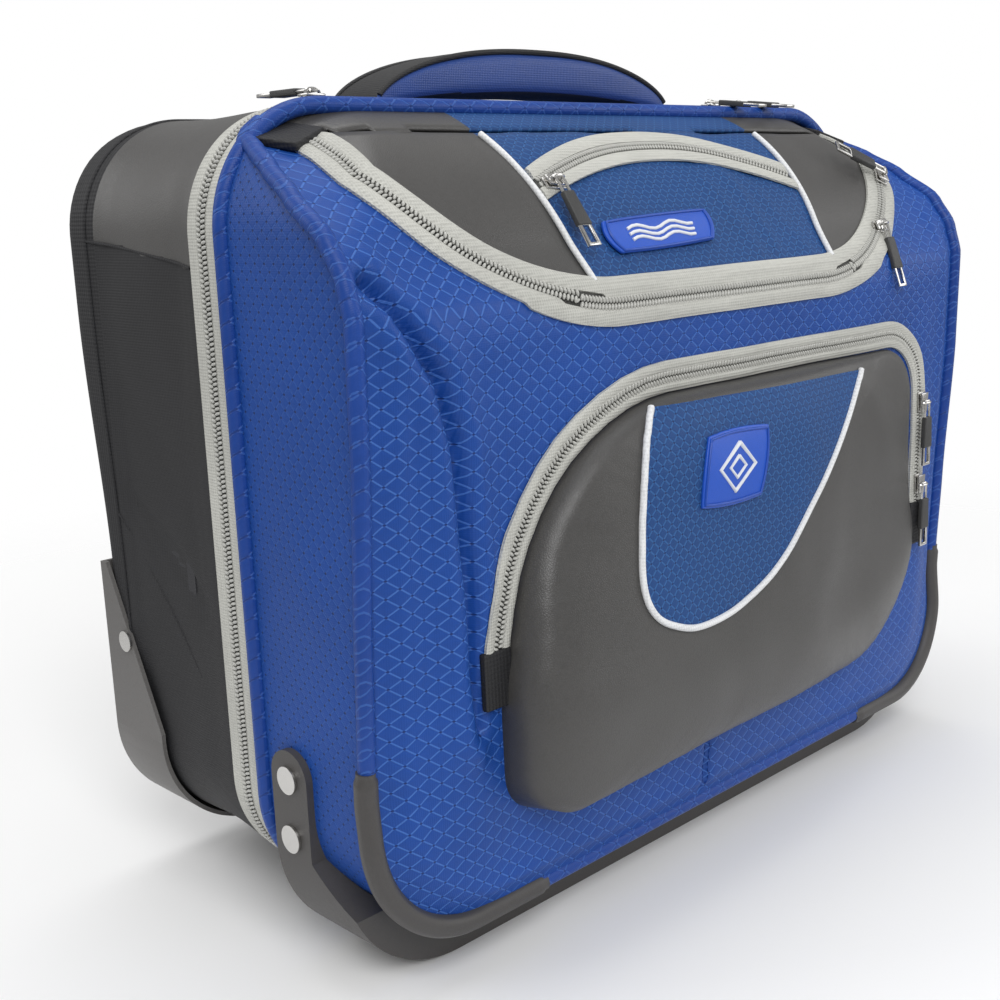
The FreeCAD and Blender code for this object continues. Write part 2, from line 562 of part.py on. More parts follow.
axle_at = ("params.wheel_y", "params.wheel_radius")
inner_half = "(params.wheel_width/2+params.wheel_clearance)"
sweep_radius = "(params.wheel_radius+2*params.wheel_clearance)"
cheek_low = "(params.wheel_radius-params.axle_radius-8)"
house_block = block("house_block", (f"{well_x[0]}+0.2", f"{well_x[1]}-0.2"), (f"{well_front}+0.2", f"{REAR_Y}"),
                    (cheek_low, f"{well_top}-0.2"))
house_room = rod("house_room", "x", sweep_radius, f"params.wheel_x-{inner_half}", f"params.wheel_x+{inner_half}",
                 axle_at)
house_mouth = block("house_mouth", (f"params.wheel_x-{inner_half}", f"params.wheel_x+{inner_half}"),
                    ("params.wheel_y", f"{REAR_Y}+9"), ("0", "params.wheel_radius*2-8"))
axle = rod("axle_rod", "x", "params.axle_radius", f"{well_x[0]}-1.5", f"{well_x[1]}+1.5", axle_at)
housing = cut("wheel_housing_right", house_block, house_room, house_mouth, axle)
keep("wheel_housing_right", housing)
keep("wheel_housing_left", mirrored("wheel_housing_left", housing))
keep("wheel_axles", group("wheel_axles", axle, mirrored("axle_left", axle)))

face = "(params.wheel_width/2)"
tyre_body = rod("tyre_body", "x", "params.wheel_radius", f"params.wheel_x-{face}", f"params.wheel_x+{face}", axle_at)
tyre_bore = rod("tyre_bore", "x", "params.hub_radius", f"params.wheel_x-{face}-1", f"params.wheel_x+{face}+1", axle_at)
tyre_round = soften("tyre_round", tyre_body, "3", lambda edge: len(edge.Vertexes) == 1)
tyre = cut("wheel_tyre_right", tyre_round, tyre_bore)
hub_body = rod("hub_body", "x", "params.hub_radius", f"params.wheel_x-{face}+1", f"params.wheel_x+{face}-1", axle_at)
hub_bore = rod("hub_bore", "x", "params.axle_radius+params.axle_play", f"params.wheel_x-{face}-1",
               f"params.wheel_x+{face}+1", axle_at)
recess = [rod(f"hub_recess_{i}", "x", "params.hub_radius-4", low, high, axle_at) for i, (low, high) in enumerate((
    (f"params.wheel_x-{face}-1", f"params.wheel_x-{face}+5"), (f"params.wheel_x+{face}-5", f"params.wheel_x+{face}+1")))]
boss = rod("hub_boss", "x", "params.axle_radius+4", f"params.wheel_x-{face}+1", f"params.wheel_x+{face}-1", axle_at)
hub = cut("wheel_hub_right", fuse("hub_blank", cut("hub_web", hub_body, *recess), boss), hub_bore)
for part_name, made in (("wheel_tyre", tyre), ("wheel_hub", hub)):
    keep(part_name + "_right", made)
    keep(part_name + "_left", mirrored(part_name + "_left", made))

# ---------------------------------------------------------------- trolley handle


def tube_pair(name, outside, inside, low, high):
    """Two upright tubes, one each side."""
    right = cut(name + "_right", rod(name + "_wall", "z", outside, low, high, ("params.tube_x", "params.tube_y")),
                rod(name + "_bore", "z", inside, f"{low}-1", f"{high}+1", ("params.tube_x", "params.tube_y")))
    return group(name, right, mirrored(name + "_left", right))


outer_radius = "params.outer_tube_radius"
outer_bore = f"({outer_radius}-params.tube_wall)"
mid_radius = f"({outer_bore}-params.tube_clearance)"
mid_bore = f"({mid_radius}-params.tube_wall)"
slim_radius = f"({mid_bore}-params.tube_clearance)"
slim_bore = f"({slim_radius}-params.tube_wall)"
bezel_floor = f"({bezel_z[0]}+params.bezel_wall)"
collar_low = f"({bezel_floor}+params.cloth_gap)"
collar_high = f"({collar_low}+params.collar_height)"
grip_low = f"({collar_high}+params.cloth_gap)"
grip_high = f"({grip_low}+params.grip_height)"
keep("trolley_outer_tubes", tube_pair("trolley_outer_tubes", outer_radius, outer_bore, "params.tube_bottom", bezel_z[0]))
keep("trolley_middle_tubes", tube_pair("trolley_middle_tubes", mid_radius, mid_bore, "params.tube_bottom+6", collar_high))
keep("trolley_inner_tubes", tube_pair("trolley_inner_tubes", slim_radius, slim_bore, "params.tube_bottom+12", grip_low))
foot_block = block("tube_foot", ("-params.tube_x-14", "params.tube_x+14"),
                   (f"params.tube_y-{outer_radius}-1", f"{REAR_Y}-params.shell_wall"),
                   (f"{FLOOR_Z}+params.shell_wall", "params.tube_bottom"))
keep("trolley_base", foot_block)

bezel_block = block("bezel_block", ("-params.bezel_half+0.2", "params.bezel_half-0.2"),
                    (f"{bezel_y[0]}+0.2", f"{REAR_Y}-0.2"), bezel_z)
bezel_room = block("bezel_room", ("-params.bezel_half+0.2+params.bezel_wall", "params.bezel_half-0.2-params.bezel_wall"),
                   (f"{bezel_y[0]}+0.2+params.bezel_wall", f"{REAR_Y}-0.2-params.bezel_wall"),
                   (bezel_floor, f"{TOP_Z}+9"))
bezel_hole = rod("bezel_hole", "z", f"({mid_radius}+params.cloth_gap)", f"{bezel_z[0]}-1", f"{bezel_floor}+1",
                 ("params.tube_x", "params.tube_y"))
keep("trolley_bezel", cut("trolley_bezel", bezel_block, bezel_room, bezel_hole, mirrored("bezel_hole_left", bezel_hole)))

grip_block = block("grip_block", ("-params.grip_half", "params.grip_half"),
                   ("params.tube_y-params.grip_width/2", "params.tube_y+params.grip_width/2"), (grip_low, grip_high))
grip_round = soften("grip_round", grip_block, "4",
                    lambda edge: abs(edge.Vertexes[0].Point.x - edge.Vertexes[-1].Point.x) > 9)
button_y = ("params.tube_y-5", "params.tube_y+5")
button_x = ("-params.button_half", "params.button_half")
button_well = block("button_well", (f"{button_x[0]}-0.3", f"{button_x[1]}+0.3"),
                    (f"{button_y[0]}-0.3", f"{button_y[1]}+0.3"), (f"{grip_high}-8", f"{grip_high}+9"))
keep("trolley_grip", cut("trolley_grip", grip_round, button_well))
keep("grip_button", block("grip_button", button_x, button_y, (f"{grip_high}-4.5", f"{grip_high}+1.5")))

# ---------------------------------------------------------------- carry handle

pad_low = f"({TOP_Z}+2)"
pad_half = "params.carry_half"
bow = "params.carry_rise"
bow_radius = f"(({pad_half}*{pad_half}+{bow}*{bow})/(2*{bow}))"
under_half = "(params.strap_leg_x-6)"
under_radius = f"(({under_half}*{under_half}+params.carry_gap*params.carry_gap)/(2*params.carry_gap))"
handle_path = [
    (f"-{pad_half}", pad_low, None), (f"-{under_half}", pad_low, (under_radius, -1)), (under_half, pad_low, None),
    (pad_half, pad_low, (bow_radius, 1)),
]
carry_y = ("params.carry_y-params.carry_width/2", "params.carry_y+params.carry_width/2")
pad_solid = slab("carry_pad_solid", "XZ", handle_path, *carry_y)
leg_block = block("leg_block", ("params.strap_leg_x-params.strap_leg_thick/2", "params.strap_leg_x+params.strap_leg_thick/2"),
                  leg_y, (f"{TOP_Z}-params.carry_lift-7", f"{TOP_Z}+4"))
stop_block = block("stop_block", ("params.strap_leg_x-5", "params.strap_leg_x+5"), leg_y,
                   (f"{TOP_Z}-params.carry_lift-9", f"{TOP_Z}-params.carry_lift-7"))
leg = fuse("carry_leg", leg_block, stop_block)
legs = group("carry_straps", leg, mirrored("carry_leg_left", leg))
keep("carry_straps", legs)
keep("carry_handle_pad", cut("carry_handle_pad", pad_solid, legs))
anchor = cut("anchor_right", block("anchor_block", ("params.strap_leg_x-8", "params.strap_leg_x+14"),
                                   (f"{leg_y[0]}-3", f"{leg_y[1]}+3"), (TOP_Z, f"{TOP_Z}+1.6")), leg_slot)
keep("carry_anchors", group("carry_anchors", anchor, mirrored("anchor_left", anchor)))

# ---------------------------------------------------------------- zip sliders and pulls

bail_gap = "(params.eye_width/2+params.bail_play)"
plate_top = "(params.plate_lift+params.plate_thick)"


def slider_master(name, length, width):
    """A slider at the origin: its bail's bar runs along X and the zip's outside is +Z."""
    plate = soften(name + "_plate", block(name + "_plate_box", (f"-({length})/2", f"({length})/2"), (f"-({width})/2", f"({width})/2"),
                                          ("params.plate_lift", plate_top)),
                   "1.5", lambda edge: abs(edge.Vertexes[0].Z - edge.Vertexes[-1].Z) > 1)
    post = block(name + "_post", (bail_gap, f"{bail_gap}+params.post_thick"), ("-1.5", "1.5"),
                 (f"{plate_top}-0.2", "params.bail_height+params.bail_radius"))
    bar = rod(name + "_bar", "x", "params.bail_radius", f"-{bail_gap}-0.5", f"{bail_gap}+0.5", ("0", "params.bail_height"))
    return fuse(name, plate, post, mirrored(name + "_post_left", post), bar)


def strip(name, half_width, low, high, thick):
    """A flat bar of a pull, in line with the bail's bar."""
    return block(name, (f"-({half_width})", half_width), (low, high),
                 (f"params.bail_height-({thick})/2", f"params.bail_height+({thick})/2"))


def pull_master():
    """A pull that lies along -Y from the bail's bar: the metal, and the sleeve moulded round it."""
    at_bar = ("0", "params.bail_height")
    half_eye, tip = "params.eye_width/2", "(params.neck_length+params.sleeve_length)"
    eye = rod("pull_eye", "x", "params.eye_radius", f"-{half_eye}", half_eye, at_bar)
    hole = rod("pull_hole", "x", "params.bail_radius+params.bail_play", f"-{half_eye}-1", f"{half_eye}+1", at_bar)
    neck = strip("pull_neck", half_eye, f"-{tip}-1", "-params.bail_radius-params.bail_play", "params.neck_thick")
    frame = strip("pull_frame", "params.sleeve_width/2", f"-{tip}-params.tip_length", f"-{tip}", "params.neck_thick")
    window = strip("pull_window", "params.tip_window/2", f"-{tip}-params.tip_length+2", f"-{tip}-params.tip_length+7", "9")
    metal = cut("pull_metal", fuse("pull_metal_blank", eye, neck, frame), hole, window)
    cover = strip("pull_cover", "params.sleeve_width/2", f"-{tip}", "-params.neck_length", "params.sleeve_thick")
    core = strip("pull_core", half_eye, f"-{tip}-1", "0", "params.neck_thick")
    return group("pull_master", metal, cut("pull_sleeve", cover, core))


along_slider = slider_master("along_slider", "params.slider_length", "params.slider_width")
across_slider = slider_master("across_slider", "params.slider_width", "params.slider_length")
pull = pull_master()


def frame_at(spot, along, outward):
    """The placement whose local X runs along a zip and whose local Z points outwards."""
    z = Vec(*outward).normalize()
    x = Vec(*along)
    x = (x - z * x.dot(z)).normalize()
    y = z.cross(x)
    matrix = App.Matrix(x.x, y.x, z.x, spot[0], x.y, y.y, z.y, spot[1], x.z, y.z, z.z, spot[2], 0, 0, 0, 1)
    return App.Placement(matrix)


def fitting(name, source, spot, along, outward, dip=0.0):
    """A slider or a pull at its place on a zip; dip turns a pull down about the bail's bar."""
    made = group(name, source)
    about = Vec(0, 0, num("params.bail_height"))
    turn = App.Placement(Vec(0, 0, 0), App.Rotation(Vec(1, 0, 0), dip), about)
    made.Placement = frame_at(spot, along, outward).multiply(turn)
    return keep(name, made)


def shoulder_point(z, lift=0.0):
    """The place on the shoulder at height z, lifted outwards, with the outward direction."""
    top, low = num(TOP_Z), num(TOP_Z) - num("params.shoulder_drop")
    back, front, radius = num("params.split_y"), num(FRONT_Y), num("params.shoulder_radius")
    middle = Vec(0, (back + front) / 2, (top + low) / 2)
    chord = Vec(0, back - front, top - low)
    inward = Vec(0, chord.z, -chord.y).normalize()
    centre = middle + inward * math.sqrt(radius ** 2 - (chord.Length / 2) ** 2)
    y = centre.y - math.sqrt(radius ** 2 - (z - centre.z) ** 2)
    out = Vec(0, y - centre.y, z - centre.z).normalize()
    return Vec(0, y, z) + out * lift, out


top = num(TOP_Z)
coil_y = (num(COIL_Y0) + num(COIL_Y1)) / 2
coil_top = top + num("params.coil_rise")
for letter, x, along, dip in (("a", 112, 1, 3), ("b", 138, 1, 3), ("c", -157, -1, 0)):
    spot = (x, coil_y, coil_top)
    fitting(f"main_slider_{letter}", along_slider, spot, (along, 0, 0), (0, 0, 1))
    fitting(f"main_pull_{letter}", pull, spot, (along, 0, 0), (0, 0, 1), dip)

SLOPE_DIP = 7
skin_lift = num("params.skin_thick")
spot, out = shoulder_point(top - 35.5, skin_lift)
spot = Vec(-84, spot.y, spot.z)
fitting("top_pocket_slider", along_slider, spot, (1, 0, 0), out)
fitting("top_pocket_pull", pull, spot, (1, 0, 0), out, SLOPE_DIP)

arc_low = num(f"({TOP_Z}-params.flap_drop)")
arc_turn, flat_half = num("params.flap_arc_radius"), num("params.flap_flat_half")
for letter, degrees, source, along, dip in (("a", 50, along_slider, (-0.43, 0, -0.9), 0), ("b", 33, along_slider, (1, 0, 0), SLOPE_DIP)):
    angle = math.radians(degrees)
    spot, out = shoulder_point(arc_low + arc_turn * (1 - math.cos(angle)), skin_lift)
    spot = Vec(flat_half + arc_turn * math.sin(angle), spot.y, spot.z)
    fitting(f"flap_slider_{letter}", source, spot, along, out)
    fitting(f"flap_pull_{letter}", pull, spot, along, out, dip)

for letter, z in (("a", 198), ("b", 152)):
    spot = (num("params.pocket_right"), num(FRONT_Y) - num("params.pocket_tape_thick"), z)
    fitting(f"pocket_slider_{letter}", across_slider, spot, (1, 0, 0), (0, -1, 0))
    fitting(f"pocket_pull_{letter}", pull, spot, (1, 0, 0), (0, -1, 0))

doc.recompute()

# ---------------------------------------------------------------- checks and export

for item in doc.Objects:
    bad = [word for word in ("Invalid", "Error") if word in item.State]
    assert not bad, f"{item.Label} is {bad}"
os.makedirs("parts", exist_ok=True)
for node, made in pieces.items():
    shape = made.Shape
    assert not shape.isNull() and shape.isValid(), f"{node} has no valid shape"
    assert shape.Solids, f"{node} has no solid"
    shape.exportStep(f"parts/{node}.step")
print(len(pieces), "nodes written")
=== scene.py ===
"""A soft-sided rolling laptop case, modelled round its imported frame. Metres, +Z up, front towards -Y."""
import math

import bmesh
import bpy
from bpy.props import FloatProperty, FloatVectorProperty, PointerProperty
from mathutils import Matrix, Vector, noise


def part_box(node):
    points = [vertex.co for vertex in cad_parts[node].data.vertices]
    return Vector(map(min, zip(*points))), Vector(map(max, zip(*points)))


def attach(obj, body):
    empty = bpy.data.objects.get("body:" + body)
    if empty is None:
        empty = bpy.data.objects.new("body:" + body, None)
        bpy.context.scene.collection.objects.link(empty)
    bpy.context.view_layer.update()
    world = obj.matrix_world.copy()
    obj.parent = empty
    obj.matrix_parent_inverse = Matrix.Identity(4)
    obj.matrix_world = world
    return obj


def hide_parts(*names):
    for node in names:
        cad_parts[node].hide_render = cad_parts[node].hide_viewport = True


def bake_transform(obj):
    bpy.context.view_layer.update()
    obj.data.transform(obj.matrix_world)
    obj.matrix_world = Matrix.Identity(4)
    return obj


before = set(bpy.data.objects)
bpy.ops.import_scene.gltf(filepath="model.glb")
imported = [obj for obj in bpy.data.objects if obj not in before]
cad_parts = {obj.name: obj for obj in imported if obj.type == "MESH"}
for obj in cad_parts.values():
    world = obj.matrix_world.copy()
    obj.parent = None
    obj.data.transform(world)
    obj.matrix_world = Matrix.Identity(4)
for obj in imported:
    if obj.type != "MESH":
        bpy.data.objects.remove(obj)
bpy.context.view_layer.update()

bl_info = {
    "name": "Rolling laptop case",
    "version": (1, 0, 0),
    "blender": (4, 5, 0),
    "location": "View3D > Sidebar > Case",
    "description": "Builds the cloth, zips, piping and hardware of a rolling laptop case",
    "category": "Object",
}

SHELL_LOW, SHELL_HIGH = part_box("front_shell")
REAR_LOW, REAR_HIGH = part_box("rear_shell")
HALF_W, FLOOR_Z, TOP_Z = SHELL_HIGH[0], SHELL_LOW[2], SHELL_HIGH[2]
FRONT_Y, SPLIT_Y = SHELL_LOW[1], SHELL_HIGH[1]
BAND_Y, REAR_Y = REAR_LOW[1], REAR_HIGH[1]
MID_Z, HALF_H = (FLOOR_Z + TOP_Z) / 2, (TOP_Z - FLOOR_Z) / 2
CORNER = 0.05
ZIP_Y = (SPLIT_Y + BAND_Y) / 2


# ---------------------------------------------------------------- settings

class CaseSizes(bpy.types.PropertyGroup):
    panel_puff: FloatProperty(name="Panel puff", description="How far the front panel's padding stands out",
                              default=0.007, unit="LENGTH")
    pocket_puff: FloatProperty(name="Pocket puff", description="How far the front pocket stands out",
                               default=0.026, unit="LENGTH")
    cord_radius: FloatProperty(name="Piping radius", description="Radius of the blue piping", default=0.0037,
                               unit="LENGTH")
    rubber_radius: FloatProperty(name="Corner piping radius",
                                 description="Radius of the moulded corner piping",
                                 default=0.0050, unit="LENGTH")
    tooth_pitch: FloatProperty(name="Tooth pitch", description="Distance between the coil's turns",
                               default=0.0020,
                               unit="LENGTH")
    cloth: FloatProperty(name="Cloth thickness", description="Thickness of the padded cloth", default=0.0022,
                         unit="LENGTH")
    lattice_width: FloatProperty(name="Lattice width", description="Width of one diamond of the blue cloth",
                                 default=0.0098, unit="LENGTH")
    lattice_height: FloatProperty(name="Lattice height",
                                  description="Height of one diamond of the blue cloth",
                                  default=0.0072, unit="LENGTH")


def colour(name, description, default):
    return FloatVectorProperty(name=name, description=description, default=default, subtype="COLOR", size=3,
                               min=0.0, max=1.0)


class CaseColours(bpy.types.PropertyGroup):
    cloth_blue: colour("Blue cloth", "Ground of the blue cloth", (0.006, 0.056, 0.29))
    lattice_blue: colour("Lattice", "Woven lines of the blue cloth", (0.075, 0.21, 0.62))
    dot_blue: colour("Dots", "Dark crossings of the blue cloth", (0.005, 0.018, 0.10))
    piping_blue: colour("Blue piping", "Piping round the front half", (0.008, 0.050, 0.27))
    vinyl: colour("Charcoal vinyl", "Coated cloth of the pocket and flap", (0.065, 0.063, 0.061))
    nylon: colour("Black nylon", "Cloth of the rear half", (0.018, 0.018, 0.020))
    tape: colour("Zip tape", "Woven tape of the zips", (0.52, 0.52, 0.48))
    coil: colour("Zip coil", "Coil of the zips", (0.46, 0.46, 0.43))
    white: colour("White piping", "Thin piping of the insets", (0.78, 0.79, 0.80))
    rubber: colour("Moulded trim", "Foot bar, corner piping and guards", (0.060, 0.056, 0.054))
    badge: colour("Badge", "Moulded rubber badges", (0.010, 0.085, 0.52))
    metal: colour("Nickel", "Sliders, pulls and rivets", (0.60, 0.59, 0.57))
    lining: colour("Lining", "Inside of the case", (0.030, 0.030, 0.034))


def sizes():
    return bpy.context.scene.case_sizes


def colours():
    return bpy.context.scene.case_colours


# ---------------------------------------------------------------- shape of the case

SHOULDER_LOW_Z, SHOULDER_R = TOP_Z - 0.081, 0.1227
_chord = Vector((SPLIT_Y - FRONT_Y, TOP_Z - SHOULDER_LOW_Z))
_inward = Vector((_chord.y, -_chord.x)).normalized()
_centre = (Vector((SPLIT_Y + FRONT_Y, TOP_Z + SHOULDER_LOW_Z)) / 2
           + _inward * math.sqrt(SHOULDER_R ** 2 - (_chord.length / 2) ** 2))
SHOULDER_Y, SHOULDER_Z = _centre.x, _centre.y


def smooth(low, high, value):
    """0 below low, 1 above high, and smooth between."""
    t = min(max((value - low) / (high - low), 0.0), 1.0)
    return t * t * (3 - 2 * t)


def along(points, value):
    """Straight-line reading of a short table of (key, value) with falling or rising keys."""
    ordered = sorted(points)
    if value <= ordered[0][0]:
        return ordered[0][1]
    for (a, va), (b, vb) in zip(ordered, ordered[1:]):
        if value <= b:
            t = (value - a) / (b - a)
            t = t * t * (3 - 2 * t) * 0.35 + t * 0.65
            return va + (vb - va) * t
    return ordered[-1][1]


# where the front piping stands, by height: it runs back into the rear piping at the top corners
EDGE = [(0.343, -0.0052), (0.3385, -0.018), (0.331, -0.034), (0.321, -0.052), (0.306, -0.074),
        (0.292, -0.0835), (0.277, -0.0875), (0.225, -0.0865), (0.150, -0.0815), (0.092, -0.0785),
        (0.062, -0.081), (0.025, -0.083)]


def edge_y(z):
    return along(EDGE, z)


def shoulder_y(z):
    if z <= SHOULDER_LOW_Z:
        return FRONT_Y
    return SHOULDER_Y - math.sqrt(max(SHOULDER_R ** 2 - (z - SHOULDER_Z) ** 2, 1e-9))


def reach(x, z):
    """0 in the middle of the front and 1 on its rounded outline."""
    x, z = abs(x), abs(z - MID_Z)
    a, b = HALF_W - CORNER, HALF_H - CORNER
    t = max(x / HALF_W, z / HALF_H)
    if x > a * t and z > b * t:
        k = a * a + b * b - CORNER * CORNER
        dot = a * x + b * z
        t = (dot - math.sqrt(max(dot * dot - k * (x * x + z * z), 0.0))) / k
    return t


TUCK = [(-0.207, 0.290), (-0.193, 0.272), (-0.180, 0.252), (-0.1735, 0.228), (-0.1705, 0.200),
        (-0.1690, 0.165), (-0.1685, 0.135), (-0.166, 0.110)]
DART = [(-0.017, 0.062), (-0.0175, 0.032)]


def away(x, z, line):
    """Distance from a point of the front to a line drawn on it."""
    best = 1.0
    p = Vector((x, z))
    for a, b in zip(line, line[1:]):
        a, b = Vector(a), Vector(b)
        t = min(max((p - a).dot(b - a) / (b - a).length_squared, 0.0), 1.0)
        best = min(best, (p - a - (b - a) * t).length)
    return best


def puff(x, z):
    """Padding of the front panel, with its tucks and soft creases."""
    t = reach(x, z)
    body = (1 - smooth(0.80, 1.0, t) ** 1.4) * (1 - smooth(0.262, 0.300, z))
    value = sizes().panel_puff * body
    roll = 0.0022 * math.exp(-((t - 0.93) / 0.03) ** 2) * (1 - smooth(0.28, 0.32, z))
    tuck = away(x, z, TUCK)
    clear_of_pocket = smooth(1.02, 1.07, pocket_reach(x, z))
    value -= 0.0070 * math.exp(-(tuck / 0.0024) ** 2) * clear_of_pocket
    value += 0.0026 * math.exp(-((tuck - 0.009) / 0.006) ** 2) * clear_of_pocket
    value -= 0.0022 * math.exp(-(away(x, z, DART) / 0.0018) ** 2)
    wave = noise.noise(Vector((x * 17, z * 23, 3.1))) * 0.0016
    wave += noise.noise(Vector((x * 45, z * 40, 8.0))) * 0.0005
    return value + roll + wave * (0.35 + 0.65 * body) * (1 - smooth(0.93, 1.0, t))


def half_width(z):
    """Half width of the case's outline at height z."""
    drop = abs(z - MID_Z) - (HALF_H - CORNER)
    if drop <= 0:
        return HALF_W
    return HALF_W - CORNER + math.sqrt(max(CORNER ** 2 - drop ** 2, 0.0))


def front_base(x, z):
    y, edge = shoulder_y(z), edge_y(z)
    return y + (edge - y) * smooth(0.80, 1.0, abs(x) / max(half_width(z), 0.01))


def front_bare(x, z):
    """A point of the front's outside at (x, z)."""
    out = Vector((0, -1, 0))
    if z > SHOULDER_LOW_Z:
        out = Vector((0, shoulder_y(z) - SHOULDER_Y, z - SHOULDER_Z)).normalized()
    return Vector((x, front_base(x, z), z)) + out * puff(x, z)


def front_point(x, z, lift=0.0):
    """A point of the front's outside lifted along its normal, and that normal."""
    step = 0.0004
    high = min(z + step, TOP_Z - 1e-6)
    up = front_bare(x, high) - front_bare(x, high - 2 * step)
    normal = (front_bare(x + step, z) - front_bare(x - step, z)).cross(up).normalized()
    if normal.y > 0:
        normal = -normal
    return front_bare(x, z) + normal * lift, normal


def rise_of(z):
    """Distance up the cloth from the bottom edge to height z."""
    if z <= SHOULDER_LOW_Z:
        return z - FLOOR_Z
    low = math.asin((SHOULDER_LOW_Z - SHOULDER_Z) / SHOULDER_R)
    return SHOULDER_LOW_Z - FLOOR_Z + SHOULDER_R * (math.asin((z - SHOULDER_Z) / SHOULDER_R) - low)


COIL_RADIUS, MAIN_COIL_RADIUS = 0.0010, 0.0007
TAPE_THICK, TAPE_CROWN = 0.0012, 0.0008
MAIN_ZIP_END = 0.166
FLAP_TAPE_GAP, FLAP_TAPE_EDGE = 0.0024, 0.0092
# the dark strips under the zips' coils, filling the gap between their tapes, are painted shade for that gap
FLAP_SHADE_STRIP_GAP, FLAP_SHADE_STRIP_EDGE, FLAP_SHADE_STRIP_THICK = 0.0002, 0.0026, 0.0003
POCKET_TAPE_GAP, POCKET_TAPE_OUT, POCKET_TAPE_IN = 0.0020, 0.0070, 0.0066
SHADE_STRIP_THICK, CLOTH_HINGE_HALF = 0.0006, 0.165
LAP = 4 * (HALF_W + HALF_H - 2 * CORNER) + 2 * math.pi * CORNER


def lap_point(d, grow=0.0):
    """Point and outward normal on the case's outline, at distance d from the bottom's middle towards +X."""
    d = d % LAP
    a, b, arc = HALF_W - CORNER, HALF_H - CORNER, CORNER * math.pi / 2
    runs = [(a, (0, -HALF_H), (1, 0), (0, -1)), (arc, (a, -b), -90, None),
            (2 * b, (HALF_W, -b), (0, 1), (1, 0)), (arc, (a, b), 0, None),
            (2 * a, (a, HALF_H), (-1, 0), (0, 1)), (arc, (-a, b), 90, None),
            (2 * b, (-HALF_W, b), (0, -1), (-1, 0)), (arc, (-a, -b), 180, None),
            (a, (-a, -HALF_H), (1, 0), (0, -1))]
    for length, start, way, out in runs:
        if d <= length:
            break
        d -= length
    if out is None:
        angle = math.radians(way + 90 * d / arc)
        normal = Vector((math.cos(angle), math.sin(angle)))
        spot = Vector(start) + normal * CORNER
    else:
        normal = Vector(out)
        spot = Vector(start) + Vector(way) * d
    spot += normal * grow
    return Vector((spot.x, 0, spot.y + MID_Z)), Vector((normal.x, 0, normal.y))


# ---------------------------------------------------------------- making meshes

def clear():
    for o in bpy.context.selected_objects:
        o.select_set(False)


def only(obj):
    clear()
    obj.select_set(True)
    bpy.context.view_layer.objects.active = obj


def finish_piece(obj, material, body, replaces=(), smooth_angle=None):
    """Gives a piece its material, its shading and its CAD body."""
    for m in (material if isinstance(material, (list, tuple)) else [material]):
        obj.data.materials.append(m)
    only(obj)
    if smooth_angle is None:
        bpy.ops.object.shade_smooth()
    else:
        bpy.ops.object.shade_smooth_by_angle(angle=math.radians(smooth_angle))
    if body:
        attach(obj, body)
    if replaces:
        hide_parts(*replaces)
    return obj


def apply(obj, kind, **values):
    """Adds a modifier and applies it."""
    only(obj)
    made = obj.modifiers.new(kind.title(), kind)
    for key, value in values.items():
        setattr(made, key, value)
    bpy.ops.object.modifier_apply(modifier=made.name)


def grid(name, columns, rows, place, wrap=False, measure=None):
    """A sheet: a grid primitive whose points are moved to place(u, v), u and v from 0 to 1."""
    clear()
    bpy.ops.mesh.primitive_grid_add(x_subdivisions=columns, y_subdivisions=rows, size=1.0, calc_uvs=True)
    obj = bpy.context.object
    obj.name = obj.data.name = name
    mesh = obj.data
    spots = [(min(max(v.co.x + 0.5, 0.0), 1.0), min(max(v.co.y + 0.5, 0.0), 1.0)) for v in mesh.vertices]
    layer = mesh.uv_layers.active.data
    for loop in mesh.loops:
        layer[loop.index].uv = measure(*spots[loop.vertex_index]) if measure else spots[loop.vertex_index]
    for vertex, (u, v) in zip(mesh.vertices, spots):
        vertex.co = place(u, v)
    if wrap:
        work = bmesh.new()
        work.from_mesh(mesh)
        bmesh.ops.remove_doubles(work, verts=work.verts, dist=1e-6)
        work.to_mesh(mesh)
        work.free()
    mesh.update()
    return obj


def outwards(obj, middle):
    """Turns a sheet so that its faces point away from a place inside it."""
    mesh = obj.data
    total = sum((Vector(f.center) - middle).dot(f.normal) * f.area for f in mesh.polygons)
    if total < 0:
        mesh.flip_normals()


def drop_faces(obj, test):
    """Removes the faces whose middle passes a test, and what is left loose."""
    work = bmesh.new()
    work.from_mesh(obj.data)
    doomed = [f for f in work.faces if test(f.calc_center_median())]
    bmesh.ops.delete(work, geom=doomed, context="FACES")
    work.to_mesh(obj.data)
    work.free()


def slice_at(obj, point, normal):
    """Cuts an edge into a sheet along a plane, and keeps both sides."""
    only(obj)
    bpy.ops.object.mode_set(mode="EDIT")
    bpy.ops.mesh.select_all(action="SELECT")
    bpy.ops.mesh.bisect(plane_co=point, plane_no=normal, use_fill=False, clear_inner=False, clear_outer=False)
    bpy.ops.object.mode_set(mode="OBJECT")


def thicken(obj, thickness, inner=0):
    """Gives a sheet its thickness inwards; inner is the material step of its lining."""
    apply(obj, "SOLIDIFY", thickness=thickness, offset=-1.0, use_even_offset=False, material_offset=inner,
          material_offset_rim=0)


def tube(name, points, radius, closed=False, sides=10):
    """A round cord along points, from a curve that is then made a mesh."""
    line = bpy.data.curves.new(name, "CURVE")
    line.dimensions = "3D"
    spline = line.splines.new("POLY")
    spline.points.add(len(points) - 1)
    for spot, place in zip(spline.points, points):
        spot.co = (*place, 1.0)
    spline.use_cyclic_u = closed
    line.bevel_depth, line.bevel_resolution, line.use_fill_caps = radius, max(sides // 4, 1), True
    obj = bpy.data.objects.new(name, line)
    bpy.context.scene.collection.objects.link(obj)
    only(obj)
    bpy.ops.object.convert(target="MESH")
    return bpy.context.object


